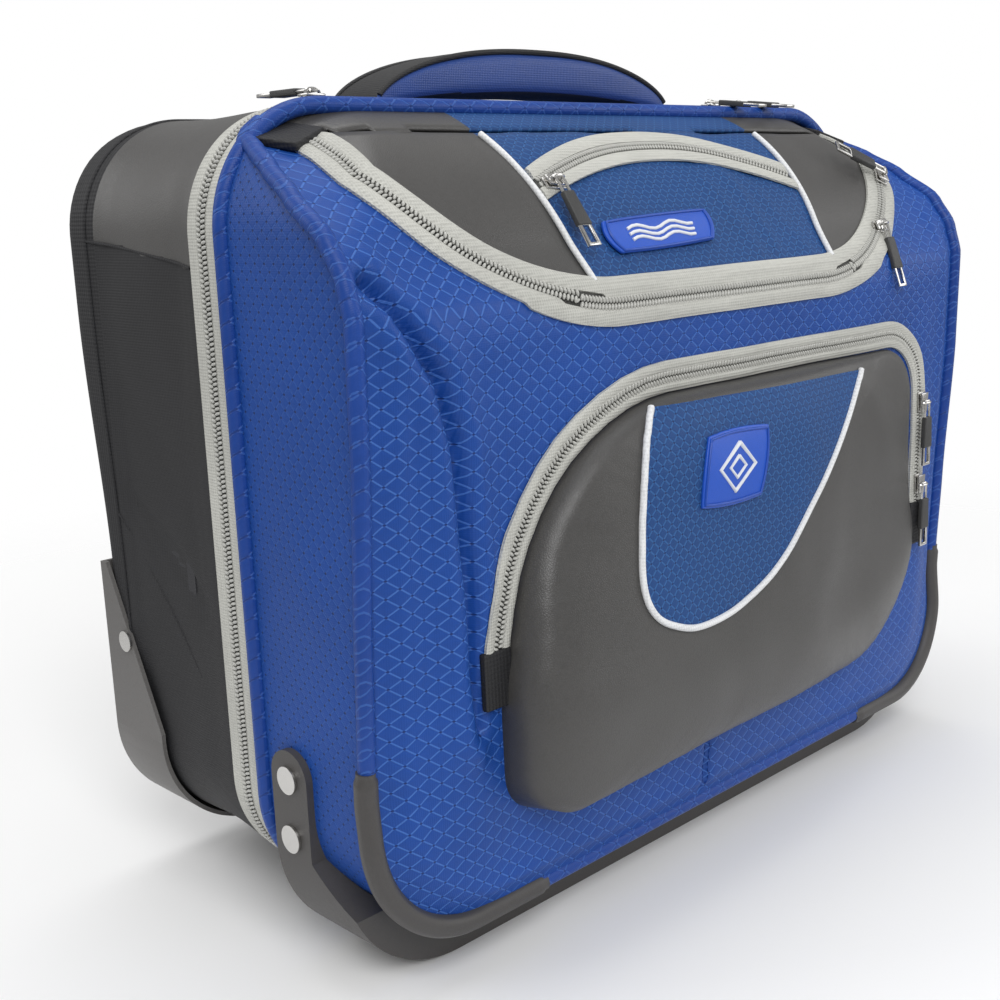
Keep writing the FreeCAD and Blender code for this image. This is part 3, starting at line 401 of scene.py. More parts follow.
def band(name, count, steps, place, thick, closed=False, crown=0.0):
    """A flat tape: place(i, t) gives the point and normal of its underside, t from -1 to 1 across it."""
    rows = []
    for i in range(count):
        row = []
        for j in range(steps + 1):
            t = 2 * j / steps - 1
            spot, normal = place(i, t)
            row.append((spot, spot + normal * (thick + crown * (1 - t * t))))
        rows.append(row)
    work = bmesh.new()
    uv = work.loops.layers.uv.new("UVMap")
    low = [[work.verts.new(p[0]) for p in row] for row in rows]
    high = [[work.verts.new(p[1]) for p in row] for row in rows]
    lengths = [0.0]
    for a, b in zip(rows, rows[1:]):
        lengths.append(lengths[-1] + (b[steps // 2][0] - a[steps // 2][0]).length)
    width = (rows[0][-1][0] - rows[0][0][0]).length
    spans = [(i, i + 1) for i in range(count - 1)] + ([(count - 1, 0)] if closed else [])

    def face(verts, coords):
        made = work.faces.new(verts)
        for loop, at in zip(made.loops, coords):
            loop[uv].uv = at

    for i, k in spans:
        la = lengths[i]
        lb = lengths[k] if k else lengths[-1] + (rows[0][0][0] - rows[-1][0][0]).length
        for j in range(steps):
            wa, wb = width * j / steps, width * (j + 1) / steps
            corners = ((la, wa), (la, wb), (lb, wb), (lb, wa))
            face((high[i][j], high[i][j + 1], high[k][j + 1], high[k][j]), corners)
            face((low[i][j], low[k][j], low[k][j + 1], low[i][j + 1]),
                 (corners[0], corners[3], corners[2], corners[1]))
        for j in (0, steps):
            face((low[i][j], high[i][j], high[k][j], low[k][j]) if j == 0 else
                 (high[i][j], low[i][j], low[k][j], high[k][j]), ((la, 0), (la, 0), (lb, 0), (lb, 0)))
    if not closed:
        for i in (0, count - 1):
            loop = [low[i][j] for j in range(steps + 1)] + [high[i][j] for j in range(steps, -1, -1)]
            face(loop, [(lengths[i], 0)] * len(loop))
    bmesh.ops.recalc_face_normals(work, faces=work.faces)
    mesh = bpy.data.meshes.new(name)
    work.to_mesh(mesh)
    work.free()
    obj = bpy.data.objects.new(name, mesh)
    bpy.context.scene.collection.objects.link(obj)
    return obj


class Track:
    """A line on the case with its outward normal, read by distance."""

    def __init__(self, samples):
        self.spots = [p for p, _ in samples]
        self.normals = [n for _, n in samples]
        self.marks = [0.0]
        for a, b in zip(self.spots, self.spots[1:]):
            self.marks.append(self.marks[-1] + (b - a).length)
        self.length = self.marks[-1]

    def at(self, d):
        d = min(max(d, 0.0), self.length)
        low, high = 0, len(self.marks) - 1
        while high - low > 1:
            mid = (low + high) // 2
            low, high = (mid, high) if self.marks[mid] <= d else (low, mid)
        t = (d - self.marks[low]) / max(self.marks[high] - self.marks[low], 1e-9)
        spot = self.spots[low].lerp(self.spots[high], t)
        normal = self.normals[low].lerp(self.normals[high], t).normalized()
        way = (self.spots[high] - self.spots[low]).normalized()
        normal = (normal - way * normal.dot(way)).normalized()
        return spot, way, normal

    def frame(self, d, lift=0.0):
        """Placement whose X runs along the track and whose Z points outwards."""
        spot, way, normal = self.at(d)
        side = normal.cross(way)
        made = Matrix((way, side, normal)).transposed().to_4x4()
        made.translation = spot + normal * lift
        return made


def coil_row(name, track, side, lift, pitch, material, body, replaces=(), size=1.0):
    """One row of a zip's coil: the same small turn of wire, copied along the track."""
    clear()
    bpy.ops.mesh.primitive_uv_sphere_add(segments=7, ring_count=5, radius=1.0)
    seed = bpy.context.object
    turn = [(Vector(v.co), v.index) for v in seed.data.vertices]
    faces = [tuple(f.vertices) for f in seed.data.polygons]
    bpy.data.objects.remove(seed, do_unlink=True)
    half = Vector((0.00076, 0.00175, 0.00085)) * size
    lean = Matrix.Rotation(math.radians(17 * side), 4, "Z")
    verts, polys = [], []
    count = int(track.length / pitch)
    shift = 0.25 * side * pitch
    for k in range(count):
        place = track.frame((k + 0.5) * pitch + shift, lift)
        place = place @ Matrix.Translation((0, side * half.y * 0.86, 0)) @ lean
        base = len(verts)
        verts += [place @ Vector((c.x * half.x, c.y * half.y, c.z * half.z)) for c, _ in turn]
        polys += [tuple(base + i for i in f) for f in faces]
    mesh = bpy.data.meshes.new(name)
    mesh.from_pydata(verts, [], polys)
    obj = bpy.data.objects.new(name, mesh)
    bpy.context.scene.collection.objects.link(obj)
    return finish_piece(obj, material, body, replaces)


def joined(name, objects):
    """Joins pieces into one mesh."""
    clear()
    for o in objects:
        o.select_set(True)
    bpy.context.view_layer.objects.active = objects[0]
    if len(objects) > 1:
        bpy.ops.object.join()
    obj = bpy.context.object
    obj.name = obj.data.name = name
    return obj


def block(name, low, high, bevel=0.0, segments=2):
    """A cube primitive at its size and place, with its edges bevelled."""
    clear()
    bpy.ops.mesh.primitive_cube_add(size=1.0)
    obj = bpy.context.object
    obj.name = obj.data.name = name
    low, high = Vector(low), Vector(high)
    for v in obj.data.vertices:
        v.co = Vector((low[i] + (v.co[i] + 0.5) * (high[i] - low[i]) for i in range(3)))
    if bevel:
        apply(obj, "BEVEL", width=bevel, segments=segments, limit_method="ANGLE")
    return obj


def stitches(name, spots, normals, material, body, pitch=0.0034, radius=0.00032):
    """A row of short raised stitches along a line on the cloth."""
    track = Track(list(zip(spots, normals)))
    clear()
    bpy.ops.mesh.primitive_uv_sphere_add(segments=6, ring_count=4, radius=1.0)
    seed = bpy.context.object
    turn = [Vector(v.co) for v in seed.data.vertices]
    faces = [tuple(f.vertices) for f in seed.data.polygons]
    bpy.data.objects.remove(seed, do_unlink=True)
    verts, polys = [], []
    for k in range(int(track.length / pitch)):
        place = track.frame((k + 0.5) * pitch, radius * 0.4)
        base = len(verts)
        verts += [place @ Vector((c.x * pitch * 0.36, c.y * radius, c.z * radius)) for c in turn]
        polys += [tuple(base + i for i in f) for f in faces]
    mesh = bpy.data.meshes.new(name)
    mesh.from_pydata(verts, [], polys)
    obj = bpy.data.objects.new(name, mesh)
    bpy.context.scene.collection.objects.link(obj)
    return finish_piece(obj, material, body)


# ---------------------------------------------------------------- shader node groups and materials

class Tree:
    """Lays nodes into a shader tree and joins them up."""

    def __init__(self, tree):
        self.tree = tree
        self.column = 0

    def add(self, kind, *values, **settings):
        node = self.tree.nodes.new(kind)
        self.column += 180
        node.location = (self.column, 0)
        for key, value in settings.items():
            setattr(node, key, value)
        for socket, value in zip(node.inputs, values):
            self.put(socket, value)
        return node

    def put(self, socket, value):
        if isinstance(value, bpy.types.NodeSocket):
            self.tree.links.new(value, socket)
        elif value is not None:
            socket.default_value = value

    def math(self, operation, *values, clamp=False):
        return self.add("ShaderNodeMath", *values, operation=operation, use_clamp=clamp).outputs[0]

    def ramp(self, value, low, high, start=0.0, end=1.0):
        return self.add("ShaderNodeMapRange", value, low, high, start, end,
                        interpolation_type="SMOOTHSTEP").outputs[0]

    def mix(self, factor, a, b):
        node = self.add("ShaderNodeMix", data_type="RGBA")
        for index, value in ((0, factor), (6, a), (7, b)):
            self.put(node.inputs[index], value)
        return node.outputs[2]

    def group(self, name, **values):
        node = self.add("ShaderNodeGroup", node_tree=bpy.data.node_groups[name])
        for key, value in values.items():
            self.put(node.inputs[key], value)
        return node.outputs


def new_group(name, takes, gives):
    """A shader node group with its sockets, as (tree, what comes in, what goes out)."""
    made = bpy.data.node_groups.new(name, "ShaderNodeTree")
    for label, kind, value in takes:
        socket = made.interface.new_socket(name=label, in_out="INPUT", socket_type="NodeSocket" + kind)
        if value is not None:
            socket.default_value = value
    for label, kind in gives:
        made.interface.new_socket(name=label, in_out="OUTPUT", socket_type="NodeSocket" + kind)
    tree = Tree(made)
    return tree, tree.add("NodeGroupInput").outputs, tree.add("NodeGroupOutput").inputs


def make_groups():
    tree, takes, gives = new_group("Lattice", [("Vector", "Vector", None), ("Width", "Float", 0.01),
                                               ("Height", "Float", 0.0075), ("Line", "Float", 0.05),
                                               ("Dot", "Float", 0.10)],
                                   [("Lines", "Float"), ("Dots", "Float"), ("Relief", "Float")])
    axes = tree.add("ShaderNodeSeparateXYZ", takes["Vector"]).outputs
    p = tree.math("DIVIDE", axes[0], takes["Width"])
    q = tree.math("DIVIDE", axes[1], takes["Height"])
    near = [tree.math("ABSOLUTE", tree.math("SUBTRACT", tree.math("FRACT", tree.math(way, p, q)), 0.5))
            for way in ("ADD", "SUBTRACT")]
    half = tree.math("MULTIPLY", takes["Line"], 0.4)
    lines = [tree.math("MULTIPLY", tree.ramp(a, half, takes["Line"], 1.0, 0.0), tree.ramp(b, 0.07, 0.12))
             for a, b in (near, near[::-1])]
    both = tree.math("MAXIMUM", *lines)
    far = tree.math("SQRT", tree.math("ADD", *(tree.math("MULTIPLY", a, a) for a in near)))
    dots = tree.ramp(far, tree.math("MULTIPLY", takes["Dot"], 0.5), takes["Dot"], 1.0, 0.0)
    fill = tree.ramp(tree.math("MINIMUM", *near), 0.0, 0.30)
    tree.put(gives["Lines"], both)
    tree.put(gives["Dots"], dots)
    raised = tree.math("ADD", tree.math("MULTIPLY", both, 0.6), tree.math("MULTIPLY", fill, 0.5))
    tree.put(gives["Relief"], tree.math("SUBTRACT", raised, dots))

    tree, takes, gives = new_group("Weave", [("Vector", "Vector", None), ("Size", "Float", 0.001)],
                                   [("Relief", "Float")])
    axes = tree.add("ShaderNodeSeparateXYZ", takes["Vector"]).outputs
    turn = tree.math("DIVIDE", 2 * math.pi, takes["Size"])
    waves = [tree.math("SINE", tree.math("MULTIPLY", axis, turn)) for axis in axes]
    total = tree.math("ADD", tree.math("ADD", waves[0], waves[1]), waves[2])
    tree.put(gives["Relief"], tree.math("MULTIPLY_ADD", total, 0.25, 0.5))

    tree, takes, gives = new_group("Grain", [("Vector", "Vector", None), ("Size", "Float", 0.0012)],
                                   [("Relief", "Float")])
    scale = tree.math("DIVIDE", 1.0, takes["Size"])
    cells = tree.add("ShaderNodeTexVoronoi", takes["Vector"], feature="DISTANCE_TO_EDGE")
    tree.put(cells.inputs["Scale"], scale)
    fine = tree.add("ShaderNodeTexNoise", takes["Vector"])
    tree.put(fine.inputs["Scale"], tree.math("MULTIPLY", scale, 2.5))
    cell = tree.ramp(cells.outputs["Distance"], 0.0, 0.25)
    tree.put(gives["Relief"], tree.math("MULTIPLY_ADD", fine.outputs[0], 0.5,
                                        tree.math("MULTIPLY", cell, 0.6)))

    tree, takes, gives = new_group("Tone", [("Vector", "Vector", None), ("Color", "Color", (1, 1, 1, 1)),
                                            ("Amount", "Float", 0.2)],
                                   [("Color", "Color"), ("Rough", "Float")])
    wide = tree.add("ShaderNodeTexNoise", takes["Vector"])
    tree.put(wide.inputs["Scale"], 16.0)
    fine = tree.add("ShaderNodeTexNoise", takes["Vector"])
    tree.put(fine.inputs["Scale"], 420.0)
    spread = tree.math("ADD", tree.math("MULTIPLY", wide.outputs[0], 0.65),
                       tree.math("MULTIPLY", fine.outputs[0], 0.35))
    level = tree.math("MULTIPLY_ADD", tree.math("SUBTRACT", spread, 0.5),
                      tree.math("MULTIPLY", takes["Amount"], 3.0),
                      1.0)
    scaled = tree.add("ShaderNodeVectorMath", takes["Color"], operation="SCALE")
    tree.put(scaled.inputs["Scale"], level)
    tree.put(gives["Color"], scaled.outputs[0])
    tree.put(gives["Rough"], tree.math("MULTIPLY", tree.math("SUBTRACT", spread, 0.5), 0.35))


def surface(name, base, rough, pattern=None, size=0.001, depth=0.25, tone=0.2, uv=False, ink=None, dots=None,
            slant=False, **sockets):
    """A material: its colour with soft tone changes, over a relief that is Lattice, Weave or Grain; with
    Weave or Grain the relief's hollows get painted shade.
    """
    made = bpy.data.materials.new(name)
    made.use_nodes = True
    tree = Tree(made.node_tree)
    shader = made.node_tree.nodes["Principled BSDF"]
    where = tree.add("ShaderNodeTexCoord").outputs["UV" if uv else "Object"]
    if slant:
        axes = tree.add("ShaderNodeSeparateXYZ", where).outputs
        where = tree.add("ShaderNodeCombineXYZ", tree.math("MULTIPLY_ADD", axes[1], 0.6, axes[0]),
                         tree.math("MULTIPLY_ADD", axes[1], 0.6, axes[2])).outputs[0]
    toned = tree.group("Tone", Vector=where, Color=(*base, 1), Amount=tone)
    shade, height = toned["Color"], None
    if pattern == "Lattice":
        net = tree.group("Lattice", Vector=where, Width=size[0], Height=size[1], Line=size[2], Dot=size[5])
        shade = tree.mix(tree.math("MULTIPLY", net["Lines"], size[3]), shade, (*ink, 1))
        shade = tree.mix(tree.math("MULTIPLY", net["Dots"], size[4]), shade, (*dots, 1))
        fine = tree.group("Weave", Vector=where, Size=0.0009)["Relief"]
        height = tree.math("MULTIPLY_ADD", fine, 0.25, net["Relief"])
    elif pattern:
        height = tree.group(pattern, Vector=where, Size=size)["Relief"]
        # painted shade: the colour darkens towards 35% of the base in the relief's hollows
        low = tree.ramp(height, 0.1, 0.6, 0.22, 0.0)
        shade = tree.mix(low, shade, tuple(c * 0.35 for c in base) + (1,))
    if height is not None:
        bump = tree.add("ShaderNodeBump")
        for label, value in (("Strength", depth), ("Distance", 0.0005), ("Height", height)):
            tree.put(bump.inputs[label], value)
        tree.put(shader.inputs["Normal"], bump.outputs[0])
    tree.put(shader.inputs["Base Color"], shade)
    tree.put(shader.inputs["Roughness"], tree.math("ADD", toned["Rough"], rough, clamp=True))
    for label, value in sockets.items():
        shader.inputs[label.replace("_", " ")].default_value = value
    made.diffuse_color = (*base, 1)
    return made


def make_materials():
    c, s = colours(), sizes()
    wide, tall = s.lattice_width, s.lattice_height
    blue, ink, dark = tuple(c.cloth_blue), tuple(c.lattice_blue), tuple(c.dot_blue)
    net = dict(pattern="Lattice", ink=ink, dots=dark, Specular_IOR_Level=0.32)
    surface("Blue lattice cloth", blue, 0.50, size=(wide, tall, 0.075, 0.52, 0.75, 0.10), depth=0.5, uv=True,
            **net)
    surface("Blue dotted cloth", blue, 0.52, size=(wide * 0.62, tall * 0.86, 0.10, 0.13, 0.95, 0.17),
            depth=0.45, uv=True,
            **net)
    inset = dict(net, ink=(0.05, 0.20, 0.50))
    surface("Blue honeycomb cloth", (0.008, 0.052, 0.19), 0.58,
            size=(0.0062, 0.0056, 0.12, 0.36, 0.95, 0.15), depth=0.5, uv=True, **inset)
    surface("Blue piping cloth", tuple(c.piping_blue), 0.45, size=(0.0115, 0.0086, 0.07, 0.30, 0.4, 0.10),
            depth=0.5,
            slant=True, **net)
    surface("Charcoal vinyl", tuple(c.vinyl), 0.40, "Grain", 0.0011, 0.16, tone=0.16)
    surface("Rear vinyl", tuple(v * 1.15 for v in c.vinyl), 0.44, "Grain", 0.0011, 0.14, tone=0.14)
    surface("Black nylon", tuple(c.nylon), 0.72, "Weave", 0.0012, 0.35, tone=0.28)
    surface("Black webbing", (0.012, 0.012, 0.014), 0.68, "Weave", 0.0018, 0.5)
    surface("Lining cloth", tuple(c.lining), 0.75, "Weave", 0.0010, 0.3)
    surface("Zip tape cloth", tuple(c.tape), 0.70, "Weave", 0.0013, 0.5, tone=0.18)
    surface("Zip coil", tuple(c.coil), 0.30, tone=0.1, Coat_Weight=0.2)
    # Painted shade: dark colour of the strips laid in the zips' gaps under the coils
    surface("Zip gap painted shade", (0.060, 0.060, 0.056), 0.8)
    surface("White piping", tuple(c.white), 0.50, "Weave", 0.0016, 0.15, tone=0.06)
    surface("Moulded trim", tuple(c.rubber), 0.48, "Grain", 0.0008, 0.15)
    surface("Badge rubber", tuple(c.badge), 0.42, "Grain", 0.0006, 0.08, tone=0.05)
    surface("Badge rim", tuple(v * 0.75 for v in c.badge), 0.38, tone=0.05)
    surface("Badge mark", (0.75, 0.77, 0.80), 0.5, tone=0.05)
    surface("Nickel", tuple(c.metal), 0.24, tone=0.12, Metallic=1.0)
    surface("Pull rubber", (0.045, 0.045, 0.045), 0.52, "Grain", 0.0007, 0.2)
    surface("Handle blue", (0.011, 0.050, 0.24), 0.46, "Weave", 0.0011, 0.25, tone=0.15, Sheen_Weight=0.1)
    surface("Handle black", (0.014, 0.014, 0.015), 0.62, "Weave", 0.0010, 0.4)
    surface("Rear plastic", (0.020, 0.020, 0.021), 0.42, "Grain", 0.0009, 0.12)
    surface("Guard plastic", (0.125, 0.120, 0.116), 0.46, "Grain", 0.0010, 0.14)
    surface("Tube metal", (0.55, 0.56, 0.57), 0.26, tone=0.10, Metallic=1.0)
    surface("Axle steel", (0.50, 0.50, 0.50), 0.30, tone=0.10, Metallic=1.0)
    surface("Grip plastic", (0.016, 0.016, 0.017), 0.40, "Grain", 0.0008, 0.10)
    surface("Button plastic", (0.16, 0.16, 0.17), 0.38, "Grain", 0.0008, 0.08)
    surface("Tyre rubber", (0.016, 0.016, 0.016), 0.62, "Grain", 0.0010, 0.12)
    surface("Hub plastic", (0.11, 0.11, 0.115), 0.44, "Grain", 0.0009, 0.08)
    surface("Inner board", (0.030, 0.030, 0.032), 0.7, "Weave", 0.0014, 0.2)


def mat(name):
    return bpy.data.materials[name]


# ---------------------------------------------------------------- front half

HINGE_Z = TOP_Z - 0.011
FLAP_LOW, FLAP_FLAT, FLAP_TURN, FLAP_WIDE = TOP_Z - 0.084, 0.075, 0.130, 0.181
RUN, ARC, SIDE = HALF_W - CORNER, CORNER * math.pi / 2, 2 * (HALF_H - CORNER)


def front_spot(a, b):
    """A place on the front, ring by ring, for a place on a square from -1 to 1."""
    t = max(abs(a), abs(b))
    if t < 1e-9:
        return 0.0, MID_Z
    a, b = a / t, b / t
    first = RUN + ARC / 2
    if b <= -1 + 1e-9:
        d = a * first
    elif a >= 1 - 1e-9:
        d = first + (b + 1) / 2 * (SIDE + ARC)
    elif b >= 1 - 1e-9:
        d = first + SIDE + ARC + (1 - a) * first
    else:
        d = 3 * first + SIDE + ARC + (1 - b) / 2 * (SIDE + ARC)
    edge = lap_point(d)[0]
    return edge.x * t, MID_Z + (edge.z - MID_Z) * t


def flap_half(z, grow=0.0):
    """Half width of the flap's outline at height z, or None below it."""
    low, turn, wide = FLAP_LOW - grow, FLAP_TURN + grow, FLAP_WIDE + grow
    if z < low:
        return None
    if z > low + turn:
        return wide
    return min(wide, FLAP_FLAT + math.sqrt(max(turn ** 2 - (turn - (z - low)) ** 2, 0.0)))


def flap_edge(grow=0.0, count=46, top=HINGE_Z):
    """The flap's outline, grown, from the hinge's left end round below to its right end, as (x, z)."""
    low, turn, wide = FLAP_LOW - grow, FLAP_TURN + grow, FLAP_WIDE + grow
    end = math.asin((wide - FLAP_FLAT) / turn)
    meet = low + turn * (1 - math.cos(end))
    half = [(FLAP_FLAT * k / 24, low) for k in range(24)]
    half += [(FLAP_FLAT + turn * math.sin(end * k / count), low + turn * (1 - math.cos(end * k / count)))
             for k in range(count)]
    half += [(wide, meet + (top - meet) * k / 6) for k in range(7)]
    return [(-x, z) for x, z in half[:0:-1]] + half


def piping_x(z):
    """Where the flap's white pipings stand."""
    return 0.0875 + 0.0115 * (z - FLAP_LOW) / (HINGE_Z - FLAP_LOW)


class CASE_OT_front_panel(bpy.types.Operator):
    """Padded front panel with its tucks, open under the top flap"""
    bl_idname = "case.front_panel"
    bl_label = "Front panel"

    def execute(self, context):
        def spot(u, v):
            return front_spot(2 * (u - 0.05 * math.sin(2 * math.pi * u)) - 1, 2 * v - 1)

        panel = grid("front_panel_cloth", 210, 170, lambda u, v: front_bare(*spot(u, v)),
                     measure=lambda u, v: (spot(u, v)[0], rise_of(spot(u, v)[1])))
        outwards(panel, Vector((0, 0, MID_Z)))
        drop_faces(panel, lambda p: p.z < HINGE_Z + 0.0004 and (flap_half(p.z, 0.003) or 0) > abs(p.x))
        for m in ("Blue lattice cloth", "Lining cloth", "Charcoal vinyl", "Lining cloth",
                  "Blue honeycomb cloth",
                  "Lining cloth"):
            panel.data.materials.append(mat(m))
        for face in panel.data.polygons:
            if face.center.z > HINGE_Z and abs(face.center.x) < FLAP_WIDE + 0.004:
                face.material_index = 4 if abs(face.center.x) < piping_x(HINGE_Z) else 2
        thicken(panel, sizes().cloth, 1)
        finish_piece(panel, [], "front_case", ["front_shell"])
        for shift in (-0.0019, 0.0019):
            rows = [front_point(-0.0172 + shift, 0.033 + 0.0018 * k) for k in range(19)]
            stitches("dart_stitches_" + ("left" if shift < 0 else "right"), [p for p, _ in rows],
                     [n for _, n in rows], mat("Blue piping cloth"), "front_case")
        return {"FINISHED"}


class CASE_OT_gusset(bpy.types.Operator):
    """Cloth round the sides of the front half, with a charcoal strip below"""
    bl_idname = "case.gusset"
    bl_label = "Front gusset"

    def execute(self, context):
        end = RUN + ARC + SIDE + ARC * 0.60

        def place(u, v):
            d = end * (2 * u - 1)
            spot, out = lap_point(d)
            front = min(edge_y(spot.z), SPLIT_Y - 0.0004)
            wave = noise.noise(Vector((d * 16, v * 2.0, 5.0))) * 0.0012
            spot += out * (0.0012 * math.sin(math.pi * v) + wave * math.sin(math.pi * v) - 0.0004)
            spot.y = SPLIT_Y + (front - SPLIT_Y) * v
            return spot

        piece = grid("front_gusset_cloth", 360, 26, place, measure=lambda u, v: (
            end * (2 * u - 1), place(u, v).y))
        slice_at(piece, (0.150, 0, 0), (1, 0, 0))
        slice_at(piece, (-0.150, 0, 0), (1, 0, 0))
        outwards(piece, Vector((0, -0.04, MID_Z)))
        for m in ("Blue dotted cloth", "Lining cloth", "Charcoal vinyl"):
            piece.data.materials.append(mat(m))
        for face in piece.data.polygons:
            if face.center.z < FLOOR_Z + 0.002 and abs(face.center.x) < 0.150:
                face.material_index = 2
        thicken(piece, sizes().cloth, 0)
        finish_piece(piece, [], "front_case", [])
        lining = grid("front_gusset_lining", 240, 2, lambda u, v: lap_point(LAP * u, -0.0035)[0] + Vector(
            (0, -0.075 + 0.066 * v, 0)), wrap=True)
        drop_faces(lining, lambda p: p.y < edge_y(p.z) + 0.018)
        finish_piece(lining, mat("Lining cloth"), "front_case")
        return {"FINISHED"}


def edge_path(low, high, count, y_of, grow=0.0):
    """Places on the outline from distance low to high."""
    made = []
    for k in range(count + 1):
        spot, _ = lap_point(low + (high - low) * k / count, grow)
        made.append(Vector((spot.x, y_of(spot.z), spot.z)))
    return made


class CASE_OT_piping(bpy.types.Operator):
    """Blue pipings round the front half, and the moulded piping on its lower corners"""
    bl_idname = "case.piping"
    bl_label = "Pipings"

    def execute(self, context):
        radius = sizes().cord_radius
        rear = tube("rear_piping_cord", edge_path(0, LAP, 420, lambda z: SPLIT_Y - 0.004)[:-1], radius,
                    closed=True,
                    sides=12)
        finish_piece(rear, mat("Blue piping cloth"), "front_case", ["rear_piping"])
        end = RUN + ARC + SIDE + ARC * 0.66
        front = tube("front_piping_cord", edge_path(-end, end, 380, edge_y), radius, sides=12)
        finish_piece(front, mat("Blue piping cloth"), "front_case", ["front_piping"])
        near, far = 0.125, RUN + ARC + 0.105 - FLOOR_Z - CORNER
        corners = []
        for side in (1, -1):
            path = edge_path(side * near, side * far, 70, edge_y, 0.0006)
            cord = tube("corner", path, sizes().rubber_radius, sides=12)
            for end_point, way in ((path[0], path[1] - path[0]), (path[-1], path[-2] - path[-1])):
                for v in cord.data.vertices:
                    if (v.co - end_point).length < sizes().rubber_radius * 1.2:
                        away_from = v.co - end_point
                        flat = away_from - way.normalized() * away_from.dot(way.normalized())
                        v.co -= flat * 0.18
            corners.append(cord)
        finish_piece(joined("corner_piping_moulding", corners), mat("Moulded trim"), "front_case",
                     ["corner_piping"])
        return {"FINISHED"}


class CASE_OT_main_zip(bpy.types.Operator):
    """Long zip round the case: two tapes and two rows of coil, and the cloth hinge below"""
    bl_idname = "case.main_zip"
    bl_label = "Main zip"

    def execute(self, context):
        low, high = MAIN_ZIP_END, LAP - MAIN_ZIP_END
        count = 420

        def strip(y0, y1, grow):
            def place(i, t):
                spot, out = lap_point(low + (high - low) * i / (count - 1), grow)
                return spot + Vector((0, (y0 + y1) / 2 + t * (y1 - y0) / 2, 0)), out
            return place

        for name, y0, y1, body, node in (
                ("main_zip_tape_front_cloth", SPLIT_Y - 0.001, ZIP_Y - 0.0022, "front_case",
                 "main_zip_tape_front"),
                ("main_zip_tape_rear_cloth", ZIP_Y + 0.0022, BAND_Y + 0.0005, "rear_case",
                 "main_zip_tape_rear")):
            tape = band(name, count, 4, strip(y0, y1, -0.0010), 0.0012, crown=0.0007)
            finish_piece(tape, mat("Zip tape cloth"), body, [node], smooth_angle=40)
        # dark strips under the coil, in the gap between the tapes: painted shade
        for name, y0, y1, body in (("main_zip_shade_strip_front", ZIP_Y - 0.0024, ZIP_Y - 0.0001, "front_case"),
                                   ("main_zip_shade_strip_rear", ZIP_Y + 0.0001, ZIP_Y + 0.0024, "rear_case")):
            shade_strip = band(name, count, 2, strip(y0, y1, -0.0012), 0.0011)
            finish_piece(shade_strip, mat("Zip gap painted shade"), body, smooth_angle=40)
        samples = []
        for k in range(700):
            spot, out = lap_point(low + (high - low) * k / 699)
            samples.append((spot + Vector((0, ZIP_Y, 0)), out))
        track = Track(samples)
        pitch = sizes().tooth_pitch
        coil_row("main_zip_coil_front", track, 1, MAIN_COIL_RADIUS, pitch, mat("Zip coil"), "front_case", [])
        coil_row("main_zip_coil_rear", track, -1, MAIN_COIL_RADIUS, pitch, mat("Zip coil"), "rear_case",
                 ["main_zip_coil"])
        hinge = grid("bottom_hinge_cloth", 60, 14, lambda u, v: Vector((
            CLOTH_HINGE_HALF * (2 * u - 1), SPLIT_Y - 0.001 + 0.021 * v,
            FLOOR_Z - 0.0012 + 0.0016 * math.sin(math.pi * v))))
        outwards(hinge, Vector((0, 0, MID_Z)))
        thicken(hinge, 0.0014)
        finish_piece(hinge, mat("Black nylon"), "rear_case", ["bottom_hinge_strip"])
        return {"FINISHED"}


def tab(name, centre, way, out, half_length, half_width, thick, material, body):
    """A small folded patch of cloth sewn down on a surface."""
    side = out.cross(way).normalized()
    frame_of = Matrix((way, side, out)).transposed().to_4x4()
    frame_of.translation = centre
    piece = block(name, (-half_length, -half_width, -0.0010), (half_length, half_width, thick), 0.0009, 3)
    piece.data.transform(frame_of)
    return finish_piece(piece, material, body, smooth_angle=50)


